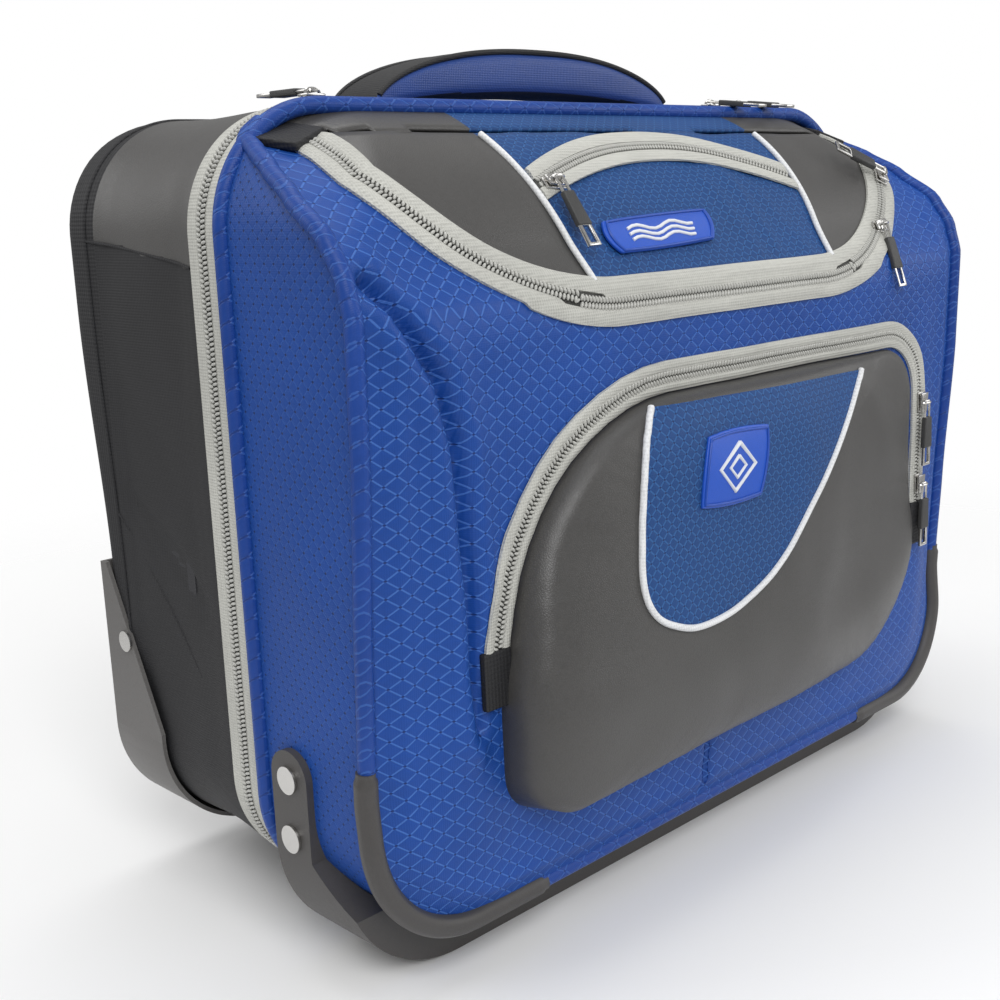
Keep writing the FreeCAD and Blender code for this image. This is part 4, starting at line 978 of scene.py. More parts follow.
class CASE_OT_flap_zip(bpy.types.Operator):
    """Zip round the top flap: an outer tape on the case and an inner tape on the flap"""
    bl_idname = "case.flap_zip"
    bl_label = "Flap zip"

    def execute(self, context):
        def strip(g0, g1):
            rows = [flap_edge(g0 + (g1 - g0) * j / 4, top=HINGE_Z - 0.002) for j in range(5)]

            def place(i, t):
                return front_point(*rows[int(round((t + 1) * 2))][i], 0.0001)
            return len(rows[0]), place

        for name, g0, g1, body, node in (
                ("flap_zip_tape_outer_cloth", FLAP_TAPE_GAP, FLAP_TAPE_EDGE, "front_case",
                 "flap_zip_tape_outer"),
                ("flap_zip_tape_inner_cloth", -FLAP_TAPE_GAP, -FLAP_TAPE_EDGE, "top_flap",
                 "flap_zip_tape_inner")):
            count, place = strip(g0, g1)
            tape = band(name, count, 4, place, TAPE_THICK, crown=TAPE_CROWN)
            finish_piece(tape, mat("Zip tape cloth"), body, [node], smooth_angle=45)
        # dark strips under the coil, in the gap between the tapes: painted shade
        for name, g0, g1, body in (("flap_zip_groove_outer", FLAP_SHADE_STRIP_GAP, FLAP_SHADE_STRIP_EDGE, "front_case"),
                                   ("flap_zip_groove_inner", -FLAP_SHADE_STRIP_GAP, -FLAP_SHADE_STRIP_EDGE,
                                    "top_flap")):
            count, place = strip(g0, g1)
            finish_piece(band(name, count, 4, place, FLAP_SHADE_STRIP_THICK), mat("Zip gap painted shade"), body,
                         smooth_angle=45)
        track = Track([front_point(x, z, 0.0002) for x, z in flap_edge(0, 70, HINGE_Z - 0.003)])
        for name, side, body in (("flap_zip_coil_outer", -1, "front_case"),
                                 ("flap_zip_coil_inner", 1, "top_flap")):
            coil_row(name, track, side, COIL_RADIUS, sizes().tooth_pitch, mat("Zip coil"), body, [])
        for name, sign in (("flap_zip_end_left", -1), ("flap_zip_end_right", 1)):
            spot, out = front_point(sign * 0.1855, HINGE_Z - 0.0035)
            above, below = (front_point(sign * 0.1815, z)[0] for z in (HINGE_Z, HINGE_Z - 0.01))
            up = (above - below).normalized()
            way = (up + Vector((sign * 0.45, 0, 0))).normalized()
            way = (way - out * way.dot(out)).normalized()
            tab(name, spot + way * 0.003 + out * 0.0012, way, out, 0.0125, 0.0105, 0.0026,
                mat("Black webbing"),
                "front_case")
        return {"FINISHED"}


class CASE_OT_flap_panel(bpy.types.Operator):
    """Top flap: vinyl sides, a honeycomb cloth middle with creases, and white pipings"""
    bl_idname = "case.flap_panel"
    bl_label = "Top flap"

    def execute(self, context):
        columns, rows, turn = 150, 70, FLAP_TURN - 0.0005
        low = FLAP_LOW + 0.0005
        top_angle = math.acos(1 - (HINGE_Z - 0.0006 - low) / turn)

        def spot(u, v):
            z = low + turn * (1 - math.cos(top_angle * v))
            half = min(FLAP_FLAT + turn * math.sin(top_angle * v), FLAP_WIDE - 0.0005)
            seam = min(piping_x(z), half - 0.008)
            side = abs(2 * u - 1)
            x = seam * side / 0.5 if side < 0.5 else seam + (half - seam) * (side - 0.5) / 0.5
            return (x if u > 0.5 else -x), z

        def crease(x, z):
            if abs(x) > 0.088:
                return 0.0008 * noise.noise(Vector((x * 22, z * 26, 1.0)))
            edge = smooth(0.0, 0.015, 0.088 - abs(x))
            ridge = 0.0
            for start, lean, deep in ((0.030, -0.35, 0.9), (0.047, -0.22, 1.2), (0.066, -0.55, 0.8),
                                      (-0.048, 0.5, 0.5)):
                centre = start + lean * (z - 0.300)
                ridge += deep * math.exp(-((x - centre) / 0.0045) ** 2)
            return edge * (0.0011 * ridge * smooth(0.274, 0.292, z) * (1 - smooth(0.318, 0.328, z))
                           + 0.0010 * noise.noise(Vector((x * 40, z * 34, 6.0))))

        def place(u, v):
            x, z = spot(u, v)
            return front_point(x, z, crease(x, z) - 0.0002)[0]

        flap = grid("top_flap_cloth", columns, rows, place, measure=lambda u, v: (
            spot(u, v)[0], rise_of(spot(u, v)[1])))
        outwards(flap, Vector((0, 0, 0.25)))
        for m in ("Charcoal vinyl", "Blue honeycomb cloth", "Lining cloth"):
            flap.data.materials.append(mat(m))
        for face in flap.data.polygons:
            face.material_index = 1 if abs(face.center.x) < piping_x(face.center.z) else 0
        inner = grid("top_flap_lining", 70, 34, lambda u, v: front_point(*spot(u, v), -0.0030)[0])
        finish_piece(inner, mat("Lining cloth"), "top_flap", [])
        thicken(flap, 0.0022)
        finish_piece(flap, [], "top_flap", ["flap_panel"])
        cords = []
        for sign in (-1, 1):
            path = []
            for k in range(40):
                z = FLAP_LOW + 0.008 + (HINGE_Z - 0.002 - FLAP_LOW - 0.008) * k / 39
                path.append(front_point(sign * piping_x(z), z, 0.0009)[0])
            cords.append(tube("cord", path, 0.00145, sides=8))
        finish_piece(joined("flap_white_piping", cords), mat("White piping"), "top_flap", ["flap_piping"])
        return {"FINISHED"}


def arc_z(x):
    """Height of the small zip across the flap."""
    return 0.3212 + 0.0156 * (1 - (x / 0.092) ** 2)


class CASE_OT_top_pocket_zip(bpy.types.Operator):
    """Small arched zip across the flap's cloth middle"""
    bl_idname = "case.top_pocket_zip"
    bl_label = "Top pocket zip"

    def execute(self, context):
        count = 90

        def strip(low, high):
            def place(i, t):
                x = -0.0925 + 0.185 * i / (count - 1)
                return front_point(x, arc_z(x) + (low + high) / 2 + t * (high - low) / 2, 0.0004)
            return place

        tapes = [band("tape", count, 4, strip(*edges), 0.0011, crown=0.0006) for edges in (
            (0.0020, 0.0066), (-0.0020, -0.0066))]
        finish_piece(joined("top_pocket_zip_tape", tapes), mat("Zip tape cloth"), "top_flap",
                     ["top_pocket_zip"],
                     smooth_angle=45)
        # dark strip under the coil, in the gap between the tapes: painted shade
        finish_piece(band("top_pocket_zip_shade_strip", count, 2, strip(-0.0021, 0.0021), SHADE_STRIP_THICK),
                     mat("Zip gap painted shade"),
                     "top_flap", smooth_angle=45)
        track = Track([front_point(-0.0915 + 0.183 * k / 119, arc_z(-0.0915 + 0.183 * k / 119), 0.0004)
                       for k in range(120)])
        for name, side in (("top_pocket_coil_upper", 1), ("top_pocket_coil_lower", -1)):
            coil_row(name, track, side, COIL_RADIUS, sizes().tooth_pitch, mat("Zip coil"), "top_flap", [],
                     0.9)
        return {"FINISHED"}


# ---------------------------------------------------------------- front pocket

P_LEFT, P_RIGHT, P_LOW, P_HIGH = -0.158, 0.170, 0.065, 0.238
P_MID = Vector((0.006, 0.150))
SPLIT_Z = 0.140


def pocket_edge(count=720):
    """The pocket's outline as (x, z, outward x, outward z), anticlockwise from the lower left."""
    corners = [(P_LEFT, P_LOW, 0.022, 180), (P_RIGHT, P_LOW, 0.072, 270), (P_RIGHT, P_HIGH, 0.034, 0),
               (P_LEFT, P_HIGH, 0.108, 90)]
    path = []
    for x, z, radius, start in corners:
        cx = x + radius * (1 if x == P_LEFT else -1)
        cz = z + radius * (1 if z == P_LOW else -1)
        for k in range(13):
            angle = math.radians(start + 90 * k / 12)
            path.append(((cx + radius * math.cos(angle), cz + radius * math.sin(angle)),
                         (math.cos(angle), math.sin(angle))))
    marks = [0.0]
    loop = path + path[:1]
    for (a, _), (b, _) in zip(loop, loop[1:]):
        marks.append(marks[-1] + math.dist(a, b))
    made, low = [], 0
    for k in range(count):
        d = marks[-1] * k / count
        while marks[low + 1] < d:
            low += 1
        t = (d - marks[low]) / max(marks[low + 1] - marks[low], 1e-9)
        spot = Vector(loop[low][0]).lerp(Vector(loop[low + 1][0]), t)
        out = Vector(loop[low][1]).lerp(Vector(loop[low + 1][1]), t).normalized()
        made.append((spot.x, spot.y, out.x, out.y))
    return made


POCKET_EDGE = pocket_edge()
POCKET_REACH = sorted((math.atan2(z - P_MID.y, x - P_MID.x), math.hypot(x - P_MID.x, z - P_MID.y))
                      for x, z, _, _ in POCKET_EDGE)


def pocket_reach(x, z):
    """0 in the middle of the pocket and 1 on its outline."""
    angle = math.atan2(z - P_MID.y, x - P_MID.x)
    low, high = 0, len(POCKET_REACH) - 1
    while high - low > 1:
        mid = (low + high) // 2
        low, high = (mid, high) if POCKET_REACH[mid][0] <= angle else (low, mid)
    return math.hypot(x - P_MID.x, z - P_MID.y) / POCKET_REACH[low][1]


def pocket_bare(x, z):
    """A point of the pocket's padded cloth at (x, z): full and square below, softer towards its zip."""
    t = min(pocket_reach(x, z), 1.0)
    low = 1 - smooth(0.105, 0.185, z)
    left = smooth(0.02, 0.15, -x)
    squareness = 3.4 + 5.5 * low + 4.0 * low * left
    rise = (1 - t ** squareness) ** 0.5
    depth = sizes().pocket_puff * (1.02 + 0.16 * low + 0.07 * left) * (1 - 0.52 * smooth(0.010, 0.165, x))
    sag = 0.0018 * math.exp(-((z - 0.105) / 0.020) ** 2) - 0.0016 * math.exp(-((z - 0.150) / 0.022) ** 2)
    dent = -0.0030 * math.exp(-((x - 0.075) / 0.040) ** 2 - ((z - 0.118) / 0.022) ** 2)
    fold = 0.0016 * math.exp(-((x - 0.118 + 0.6 * (z - 0.19)) / 0.012) ** 2) * smooth(0.15, 0.19, z)
    wave = 0.0014 * noise.noise(Vector((x * 15, z * 20, 12.0)))
    wave += 0.0005 * noise.noise(Vector((x * 42, z * 42, 2.0)))
    return Vector((x, FRONT_Y - 0.0035 - rise * depth - (sag + dent + fold + wave) * rise, z))


def pocket_point(x, z, lift=0.0):
    step = 0.0006
    normal = (pocket_bare(x + step, z) - pocket_bare(x - step, z)).cross(
        pocket_bare(x, z + step) - pocket_bare(x, z - step)).normalized()
    if normal.y > 0:
        normal = -normal
    return pocket_bare(x, z) + normal * lift, normal


def bend_pocket(obj):
    """Bakes the piece's placement into its mesh; the cloth is not bent."""
    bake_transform(obj)


class CASE_OT_pocket(bpy.types.Operator):
    """Puffed vinyl pocket on the front, built in one piece without a hinge"""
    bl_idname = "case.pocket"
    bl_label = "Front pocket"

    def execute(self, context):
        around = 300
        edge = pocket_edge(around)

        def place(u, v):
            k = int(round(u * around)) % around
            x, z, ox, oz = edge[k]
            inset = 0.0045 * smooth(0.12, 0.15, z) + 0.0015
            ex, ez = x - ox * inset, z - oz * inset
            t = 1 - (1 - v) ** 1.7
            return pocket_bare(P_MID.x + (ex - P_MID.x) * (1 - t), P_MID.y + (ez - P_MID.y) * (1 - t))

        def from_edge(u, v):
            spot = place(u, 1 - v)
            if v > 0.999:
                spot.y = FRONT_Y - 0.001
            return spot

        cloth = grid("pocket_cloth", around, 54, from_edge, wrap=True)
        outwards(cloth, Vector((P_MID.x, FRONT_Y, P_MID.y)))
        thicken(cloth, 0.0016, 1)
        finish_piece(cloth, [mat("Charcoal vinyl"), mat("Lining cloth")], None,
                     ["pocket_upper", "pocket_lower"])
        bend_pocket(cloth)
        return {"FINISHED"}


# the inset's edge over the pocket, from its top left, down, round and up to its top right
INSET = [(-0.0710, 0.2280), (-0.0800, 0.2160), (-0.0860, 0.2000), (-0.0910, 0.1760), (-0.0930, 0.1570),
         (-0.0890, 0.1450), (-0.0780, 0.1370), (-0.0580, 0.1315), (-0.0280, 0.1340), (0.0060, 0.1470),
         (0.0380, 0.1730), (0.0710, 0.2025), (0.0945, 0.2250)]


def rounded(points, count):
    """Smooth line through points, as count + 1 places."""
    made = []
    for k in range(count + 1):
        f = k / count * (len(points) - 1)
        i = min(int(f), len(points) - 2)
        t = f - i
        a, b, c, d = (Vector(points[min(max(j, 0), len(points) - 1)]) for j in (i - 1, i, i + 1, i + 2))
        made.append(0.5 * ((2 * b) + (c - a) * t + (2 * a - 5 * b + 4 * c - d) * t * t
                           + (3 * b - a - 3 * c + d) * t ** 3))
    return made


class CASE_OT_pocket_inset(bpy.types.Operator):
    """Honeycomb cloth inset of the pocket with its white piping"""
    bl_idname = "case.pocket_inset"
    bl_label = "Pocket inset"

    def execute(self, context):
        line = rounded(INSET, 120)
        middle = (line[0] + line[-1]) / 2

        def spot(u, v):
            edge = line[int(round(u * 120))]
            return middle.lerp(edge, v)

        inset = grid("pocket_inset_cloth", 120, 40, lambda u, v: pocket_point(*spot(u, v), 0.0006)[0],
                     wrap=True,
                     measure=lambda u, v: tuple(spot(u, v)))
        outwards(inset, Vector((0, 0, 0.15)))
        finish_piece(inset, mat("Blue honeycomb cloth"), None, [])
        bend_pocket(inset)
        cord = tube("pocket_white_piping", [pocket_point(p.x, p.y, 0.0009)[0] for p in line], 0.00155,
                    sides=8)
        finish_piece(cord, mat("White piping"), None, [])
        bend_pocket(cord)
        return {"FINISHED"}


class CASE_OT_pocket_zip(bpy.types.Operator):
    """Zip over the top of the pocket, with its end tab"""
    bl_idname = "case.pocket_zip"
    bl_label = "Pocket zip"

    def execute(self, context):
        ring = [p for p in POCKET_EDGE if p[1] >= SPLIT_Z - 0.002]
        first = next(k for k, p in enumerate(POCKET_EDGE) if p[1] >= SPLIT_Z - 0.002 and p[0] > 0)
        ring = [POCKET_EDGE[(first + k) % len(POCKET_EDGE)] for k in range(len(ring))]

        def strip(low, high):
            def place(i, t):
                x, z, ox, oz = ring[i]
                g = (low + high) / 2 + t * (high - low) / 2
                return front_point(x + ox * g, z + oz * g, 0.0002)
            return place

        for name, low, high, inner in (("pocket_zip_tape_outer", POCKET_TAPE_GAP, POCKET_TAPE_OUT, False),
                                       ("pocket_zip_tape_inner", -POCKET_TAPE_GAP, -POCKET_TAPE_IN, True)):
            tape = band(name, len(ring), 4, strip(low, high), 0.0013, crown=0.0008)
            finish_piece(tape, mat("Zip tape cloth"), None if inner else "front_case",
                         [] if inner else ["pocket_zip_tape"], smooth_angle=45)
            if inner:
                bend_pocket(tape)
        # dark strip under the coil, in the gap between the tapes: painted shade
        shade_strip = band("pocket_zip_shade_strip", len(ring), 2, strip(-0.0022, 0.0022), SHADE_STRIP_THICK)
        finish_piece(shade_strip, mat("Zip gap painted shade"), "front_case", smooth_angle=45)
        track = Track([front_point(x, z, 0.0004) for x, z, _, _ in ring])
        coil_row("pocket_zip_coil_outer", track, -1, COIL_RADIUS, sizes().tooth_pitch, mat("Zip coil"),
                 "front_case", [])
        inner = coil_row("pocket_zip_coil_inner", track, 1, COIL_RADIUS, sizes().tooth_pitch,
                         mat("Zip coil"), None, [])
        bend_pocket(inner)
        for name, x, z in (("pocket_zip_end_left", P_LEFT - 0.0005, SPLIT_Z - 0.010),
                           ("pocket_zip_end_right", P_RIGHT - 0.0005, SPLIT_Z - 0.010)):
            spot, out = front_point(x, z, 0.0006)
            way = (Vector((0, 0, 1)) - out * out.z).normalized()
            tab(name, spot, way, out, 0.0120, 0.0075, 0.0024, mat("Black webbing"), "front_case")
        return {"FINISHED"}


def badge(name, corners, surface_point, body, node, marks):
    """A moulded badge: a soft-cornered plate following the cloth, with a raised rim and a raised mark."""
    lower_left, lower_right, upper_right, upper_left = (Vector(c) for c in corners)

    def flat(a, b):
        a, b = a * math.sqrt(1 - 0.16 * b * b), b * math.sqrt(1 - 0.16 * a * a)
        u, v = (a + 1) / 2, (b + 1) / 2
        return lower_left.lerp(lower_right, u).lerp(upper_left.lerp(upper_right, u), v)

    plate = grid(name, 28, 20, lambda u, v: surface_point(*flat(2 * u - 1, 2 * v - 1), 0.0019)[0])
    outwards(plate, Vector((0, 0, 0.15)))
    thicken(plate, 0.0016)
    apply(plate, "BEVEL", width=0.0005, segments=2, limit_method="ANGLE")
    ring = [(math.cos(k * math.pi / 40), math.sin(k * math.pi / 40)) for k in range(80)]
    square = [(x / max(abs(x), abs(y)), y / max(abs(x), abs(y))) for x, y in ring]
    rim = tube(name + "_rim", [surface_point(*flat(0.93 * a, 0.90 * b), 0.0020)[0] for a, b in square],
               0.0007,
               closed=True, sides=8)
    pieces = [plate, rim]
    plate.data.materials.append(mat("Badge rubber"))
    rim.data.materials.append(mat("Badge rim"))
    for path, radius in marks:
        line = tube(name + "_mark", [surface_point(*flat(a, b), 0.0019)[0] for a, b in path], radius, sides=8)
        line.data.materials.append(mat("Badge mark"))
        pieces.append(line)
    made = joined(name, pieces)
    finish_piece(made, [], body, [node], smooth_angle=50)
    return made


FLAP_BADGE = [(-0.066, 0.290), (0.006, 0.293), (0.010, 0.308), (-0.070, 0.305)]
POCKET_BADGE = [(-0.054, 0.181), (-0.008, 0.1795), (0.002, 0.213), (-0.045, 0.2135)]


class CASE_OT_badges(bpy.types.Operator):
    """Two moulded badges, each with a plain generic mark"""
    bl_idname = "case.badges"
    bl_label = "Badges"

    def execute(self, context):
        waves = [([(-0.62 + 0.1 * k, 0.30 * shift + 0.16 * math.sin(k * 0.95)) for k in range(13)], 0.0008)
                 for shift in (-1.1, 0.0, 1.1)]
        badge("flap_badge_moulding", FLAP_BADGE, front_point, "top_flap", "flap_badge", waves)
        diamond = [(0, 0.62), (0.55, 0), (0, -0.62), (-0.55, 0), (0, 0.62)]
        small = [(0.45 * a, 0.45 * b) for a, b in diamond]
        badge("pocket_badge_moulding", POCKET_BADGE, pocket_point, "pocket_flap", "pocket_badge",
              [(diamond, 0.0011), (small, 0.0009)])
        return {"FINISHED"}


# ---------------------------------------------------------------- rear half

BACK_EDGE = 0.008
BAND_FRONT, BEZEL_HALF = 0.0945, 0.129
SEAM_FRONT, SEAM_BACK = (0.016, 0.294), (0.0945, 0.3045)
# openings in the rear cloth for the wheels' housings and the trolley's bezel
WHEEL_NEAR, WHEEL_FAR, WHEEL_FRONT, WHEEL_TOP = 0.1195, 0.1545, 0.046, 0.0695
TROLLEY_HALF, TROLLEY_FRONT, TROLLEY_LOW = 0.128, 0.0862, 0.331


def seam_z(y):
    """Height of the seam between the rear half's vinyl and nylon."""
    t = (y - SEAM_FRONT[0]) / (SEAM_BACK[0] - SEAM_FRONT[0])
    return SEAM_FRONT[1] + (SEAM_BACK[1] - SEAM_FRONT[1]) * t


def rear_point(d, y):
    """A point of the rear half's outside: its sides, and the rounded edge into its back."""
    spot, out = lap_point(d)
    inner = smooth(BAND_Y, BAND_Y + 0.02, y) * (1 - smooth(BAND_FRONT - 0.012, BAND_FRONT, y))
    side = abs(out.x)
    grow = inner * (0.0018 * noise.noise(Vector((d * 14, y * 22, 4.0))) - 0.0022 * side
                    - 0.0016 * math.exp(-((spot.z - 0.150 - (y - 0.03) * 0.7) / 0.008) ** 2) * side)
    turn = y - (REAR_Y - BACK_EDGE)
    if turn > 0:
        angle = min(turn / BACK_EDGE, 1.0) * math.pi / 2
        grow -= BACK_EDGE * (1 - math.cos(angle))
        y = REAR_Y - BACK_EDGE + BACK_EDGE * math.sin(angle)
    spot += out * grow
    corner = smooth(0.140, 0.205, abs(spot.x)) * smooth(0.150, 0.275, spot.z)
    spot.y = y + 0.0085 * corner * smooth(0.070, 0.108, y)
    return spot


class CASE_OT_rear_cloth(bpy.types.Operator):
    """Nylon rear half with vinyl upper corners, a band round its back edge and openings for the hardware"""
    bl_idname = "case.rear_cloth"
    bl_label = "Rear half"

    def execute(self, context):
        sides = 0.62

        def place(u, v):
            d = LAP * u
            if v <= sides:
                return rear_point(d, BAND_Y - 0.0006 + (REAR_Y - BAND_Y + 0.0006) * v / sides)
            t = (v - sides) / (1 - sides)
            edge = rear_point(d, REAR_Y)
            spot = edge.lerp(Vector((0, REAR_Y, MID_Z)), t)
            slope = (edge.y - REAR_Y) * (1 - smooth(0.0, 0.35, t))
            spot.y = REAR_Y + slope - 0.0012 * math.exp(-(t / 0.05) ** 2)
            return spot

        cloth = grid("rear_case_cloth", 320, 74, place, wrap=True,
                     measure=lambda u, v: (LAP * u, place(u, v).y))
        across, back, up = (1, 0, 0), (0, 1, 0), (0, 0, 1)
        for low, normal in (((-WHEEL_FAR, 0, 0), across), ((-WHEEL_NEAR, 0, 0), across),
                            ((WHEEL_NEAR, 0, 0), across), ((WHEEL_FAR, 0, 0), across),
                            ((-TROLLEY_HALF, 0, 0), across), ((TROLLEY_HALF, 0, 0), across),
                            ((0, 0, WHEEL_TOP), up), ((0, WHEEL_FRONT, 0), back), ((0, 0, TROLLEY_LOW), up),
                            ((0, BAND_FRONT, 0), back), ((0, TROLLEY_FRONT, 0), back),
                            ((0, SEAM_FRONT[0], SEAM_FRONT[1]), (0, -0.0105, 0.0785))):
            slice_at(cloth, low, normal)
        drop_faces(cloth, lambda p: (WHEEL_NEAR < abs(p.x) < WHEEL_FAR and p.y > WHEEL_FRONT
                                     and p.z < WHEEL_TOP)
                   or (abs(p.x) < TROLLEY_HALF and p.y > TROLLEY_FRONT and p.z > TROLLEY_LOW))
        outwards(cloth, Vector((0, 0.06, MID_Z)))
        for m in ("Black nylon", "Lining cloth", "Rear vinyl", "Black webbing", "Blue lattice cloth"):
            cloth.data.materials.append(mat(m))
        for face in cloth.data.polygons:
            p = face.center
            if BAND_FRONT < p.y:
                face.material_index = 3 if p.y < REAR_Y - 0.0004 or on_webbing(p) else 0
            elif p.z > TOP_Z - 0.002 and abs(p.x) < 0.150:
                face.material_index = 4
            elif p.z > seam_z(p.y):
                face.material_index = 2
        thicken(cloth, sizes().cloth, 0)
        finish_piece(cloth, [], "rear_case", ["rear_shell"], smooth_angle=60)
        lining = grid("rear_case_lining", 240, 6, lambda u, v: lap_point(LAP * u, -0.0042)[0] + Vector(
            (0, BAND_Y + 0.001 + 0.067 * v, 0)), wrap=True)
        drop_faces(lining, lambda p: 0.117 < abs(p.x) < 0.157 and p.y > 0.043 and p.z < 0.08)
        finish_piece(lining, mat("Lining cloth"), "rear_case", [])
        return {"FINISHED"}


def on_webbing(p):
    """True on the strip of webbing that frames the flat back."""
    return abs(p.x) > HALF_W - 0.020 or p.z > TOP_Z - 0.020 or p.z < FLOOR_Z + 0.020


class CASE_OT_rear_seams(bpy.types.Operator):
    """Raised seams of the rear half"""
    bl_idname = "case.rear_seams"
    bl_label = "Rear seams"

    def execute(self, context):
        edge = RUN + ARC + SIDE + ARC
        cords = []
        low, high = RUN + ARC * 0.5, edge + RUN - BEZEL_HALF
        for sign in (-1, 1):
            path = [rear_point(sign * (low + (high - low) * k / 170), BAND_FRONT) for k in range(171)]
            cords.append(tube("seam", path, 0.0009, sides=8))
            rise = [rear_point(sign * (RUN + ARC + seam_z(y) - FLOOR_Z - CORNER), y) for y in
                    [SEAM_FRONT[0] + (SEAM_BACK[0] - SEAM_FRONT[0]) * k / 30 for k in range(31)]]
            cords.append(tube("seam", rise, 0.0007, sides=8))
            slope = []
            for k in range(31):
                y, z = 0.0945 - 0.0565 * k / 30, 0.182 - 0.067 * k / 30
                slope.append(rear_point(sign * (RUN + ARC + z - FLOOR_Z - CORNER), y))
            cords.append(tube("seam", slope, 0.0006, sides=8))
            top = [rear_point(sign * (edge + 0.015), 0.017 + 0.0775 * k / 24) for k in range(25)]
            cords.append(tube("seam", top, 0.0007, sides=8))
        finish_piece(joined("rear_seam_welts", cords), mat("Black webbing"), "rear_case", [])
        return {"FINISHED"}


class CASE_OT_carry_handle(bpy.types.Operator):
    """Padded carry handle: blue half-moon faces, a black band over the top and thin black piping"""
    bl_idname = "case.carry_handle"
    bl_label = "Carry handle"

    def execute(self, context):
        low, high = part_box("carry_handle_pad")
        middle, half_y, half_x = (low.y + high.y) / 2, (high.y - low.y) / 2, (high.x - low.x) / 2

        def heights(x):
            t = min(abs(x) / half_x, 1.0)
            top = low.z + 0.004 + (high.z - low.z - 0.0045) * (1 - t ** 2.3) ** 0.62
            under = low.z + 0.0005 + 0.0065 * (1 - t * t)
            return under, max(top, under + 0.003)

        def place(u, v):
            x = half_x * math.sin((u - 0.5) * math.pi)
            under, top = heights(x)
            angle = 2 * math.pi * v
            c, s = math.cos(angle), math.sin(angle)
            y = math.copysign(abs(c) ** 0.62, c) * half_y * (0.96 - 0.10 * abs(x / half_x) ** 4)
            z = (under + top) / 2 + math.copysign(abs(s) ** 0.50, s) * (top - under) / 2
            puffed = 0.0010 * noise.noise(Vector((x * 20, y * 60, z * 40)))
            return Vector((x, middle + y + puffed, z))

        pad = grid("carry_handle_padding", 110, 56, place, wrap=True)
        outwards(pad, Vector((0, middle, low.z + 0.014)))
        pad.data.materials.append(mat("Handle blue"))
        pad.data.materials.append(mat("Handle black"))
        for face in pad.data.polygons:
            if abs(face.center.y - middle) < half_y * 0.80 or abs(face.normal.z) > 0.80:
                face.material_index = 1
        finish_piece(pad, [], "carry_handle", ["carry_handle_pad"])
        cords = []
        for sign in (-1, 1):
            path = []
            for k in range(91):
                x = half_x * 0.985 * math.sin((k / 90 - 0.5) * math.pi)
                path.append(Vector((x, middle + sign * half_y * 0.855, heights(x)[1] - 0.0012)))
            cords.append(tube("cord", path, 0.0013, sides=8))
        finish_piece(joined("carry_handle_piping", cords), mat("Handle black"), "carry_handle", [])
        return {"FINISHED"}


# ---------------------------------------------------------------- sliders and pulls

def loop_tube(name, low_x, high_x, low_y, high_y, z, radius, turn=0.0012):
    """A rounded rectangular wire loop."""
    path = []
    for cx, cy, start in ((high_x - turn, high_y - turn, 0), (low_x + turn, high_y - turn, 90),
                          (low_x + turn, low_y + turn, 180), (high_x - turn, low_y + turn, 270)):
        for k in range(5):
            angle = math.radians(start + 22.5 * k)
            path.append(Vector((cx + turn * math.cos(angle), cy + turn * math.sin(angle), z)))
    return tube(name, path, radius, closed=True, sides=8)


def slider_seed(across):
    """The slider's plates and its bail, its zip running along X, or along Y when across."""
    pieces = []
    for low_z, high_z, wide, long in ((0.0009, 0.0021, 0.0040, 0.0056), (0.0029, 0.0041, 0.0036, 0.0052)):
        plate = block("plate", (-long, -wide, low_z), (long, wide, high_z))
        for v in plate.data.vertices:
            if v.co.x < 0:
                v.co.y *= 0.70
        apply(plate, "BEVEL", width=0.00045, segments=2, limit_method="ANGLE")
        pieces.append(plate)
    pieces.append(block("post", (-0.0012, -0.0012, 0.0018), (0.0046, 0.0012, 0.0034), 0.0003))
    if across:
        for p in pieces:
            p.data.transform(Matrix.Rotation(math.radians(90), 4, "Z"))
    arch = [Vector((0.0037 * math.cos(a), 0, 0.0038 + 0.0023 * math.sin(a) ** 0.7)) for a in
            [math.pi * k / 14 for k in range(15)]]
    pieces.append(tube("bail", arch, 0.0007, sides=8))
    return joined("slider", pieces)


def pull_seed():
    """A wire neck, a rubber sleeve and an open metal end, hanging along -Y from the bail."""
    bar = 0.0054
    neck = loop_tube("neck", -0.0021, 0.0021, -0.0098, 0.0010, bar, 0.00065)
    end = block("end", (-0.0037, -0.0350, bar - 0.0008), (0.0037, -0.0235, bar + 0.0008))
    only(end)
    bpy.ops.object.mode_set(mode="EDIT")
    bpy.ops.mesh.select_mode(type="FACE")
    bpy.ops.mesh.select_all(action="DESELECT")
    bpy.ops.object.mode_set(mode="OBJECT")
    for face in end.data.polygons:
        face.select = abs(face.normal.z) > 0.9
    bpy.ops.object.mode_set(mode="EDIT")
    bpy.ops.mesh.inset(thickness=0.0016, depth=0)
    bpy.ops.mesh.bridge_edge_loops()
    bpy.ops.object.mode_set(mode="OBJECT")
    apply(end, "BEVEL", width=0.00035, segments=2, limit_method="ANGLE")
    metal = joined("metal", [neck, end])
    sleeve = block("sleeve", (-0.0040, -0.0250, bar - 0.0014), (0.0040, -0.0080, bar + 0.0014))
    for v in sleeve.data.vertices:
        if v.co.y > -0.01:
            v.co.x *= 0.80
    apply(sleeve, "BEVEL", width=0.0006, segments=3, limit_method="ANGLE")
    for obj, name in ((metal, "Nickel"), (sleeve, "Pull rubber")):
        obj.data.materials.append(mat(name))
    return joined("pull", [metal, sleeve])


def fitting_frame(spot, along_way, out):
    """Placement at a spot: X along the bail's bar on the surface, Z outwards."""
    out = Vector(out).normalized()
    x = Vector(along_way)
    x = (x - out * x.dot(out)).normalized()
    made = Matrix((x, out.cross(x), out)).transposed().to_4x4()
    made.translation = spot
    return made


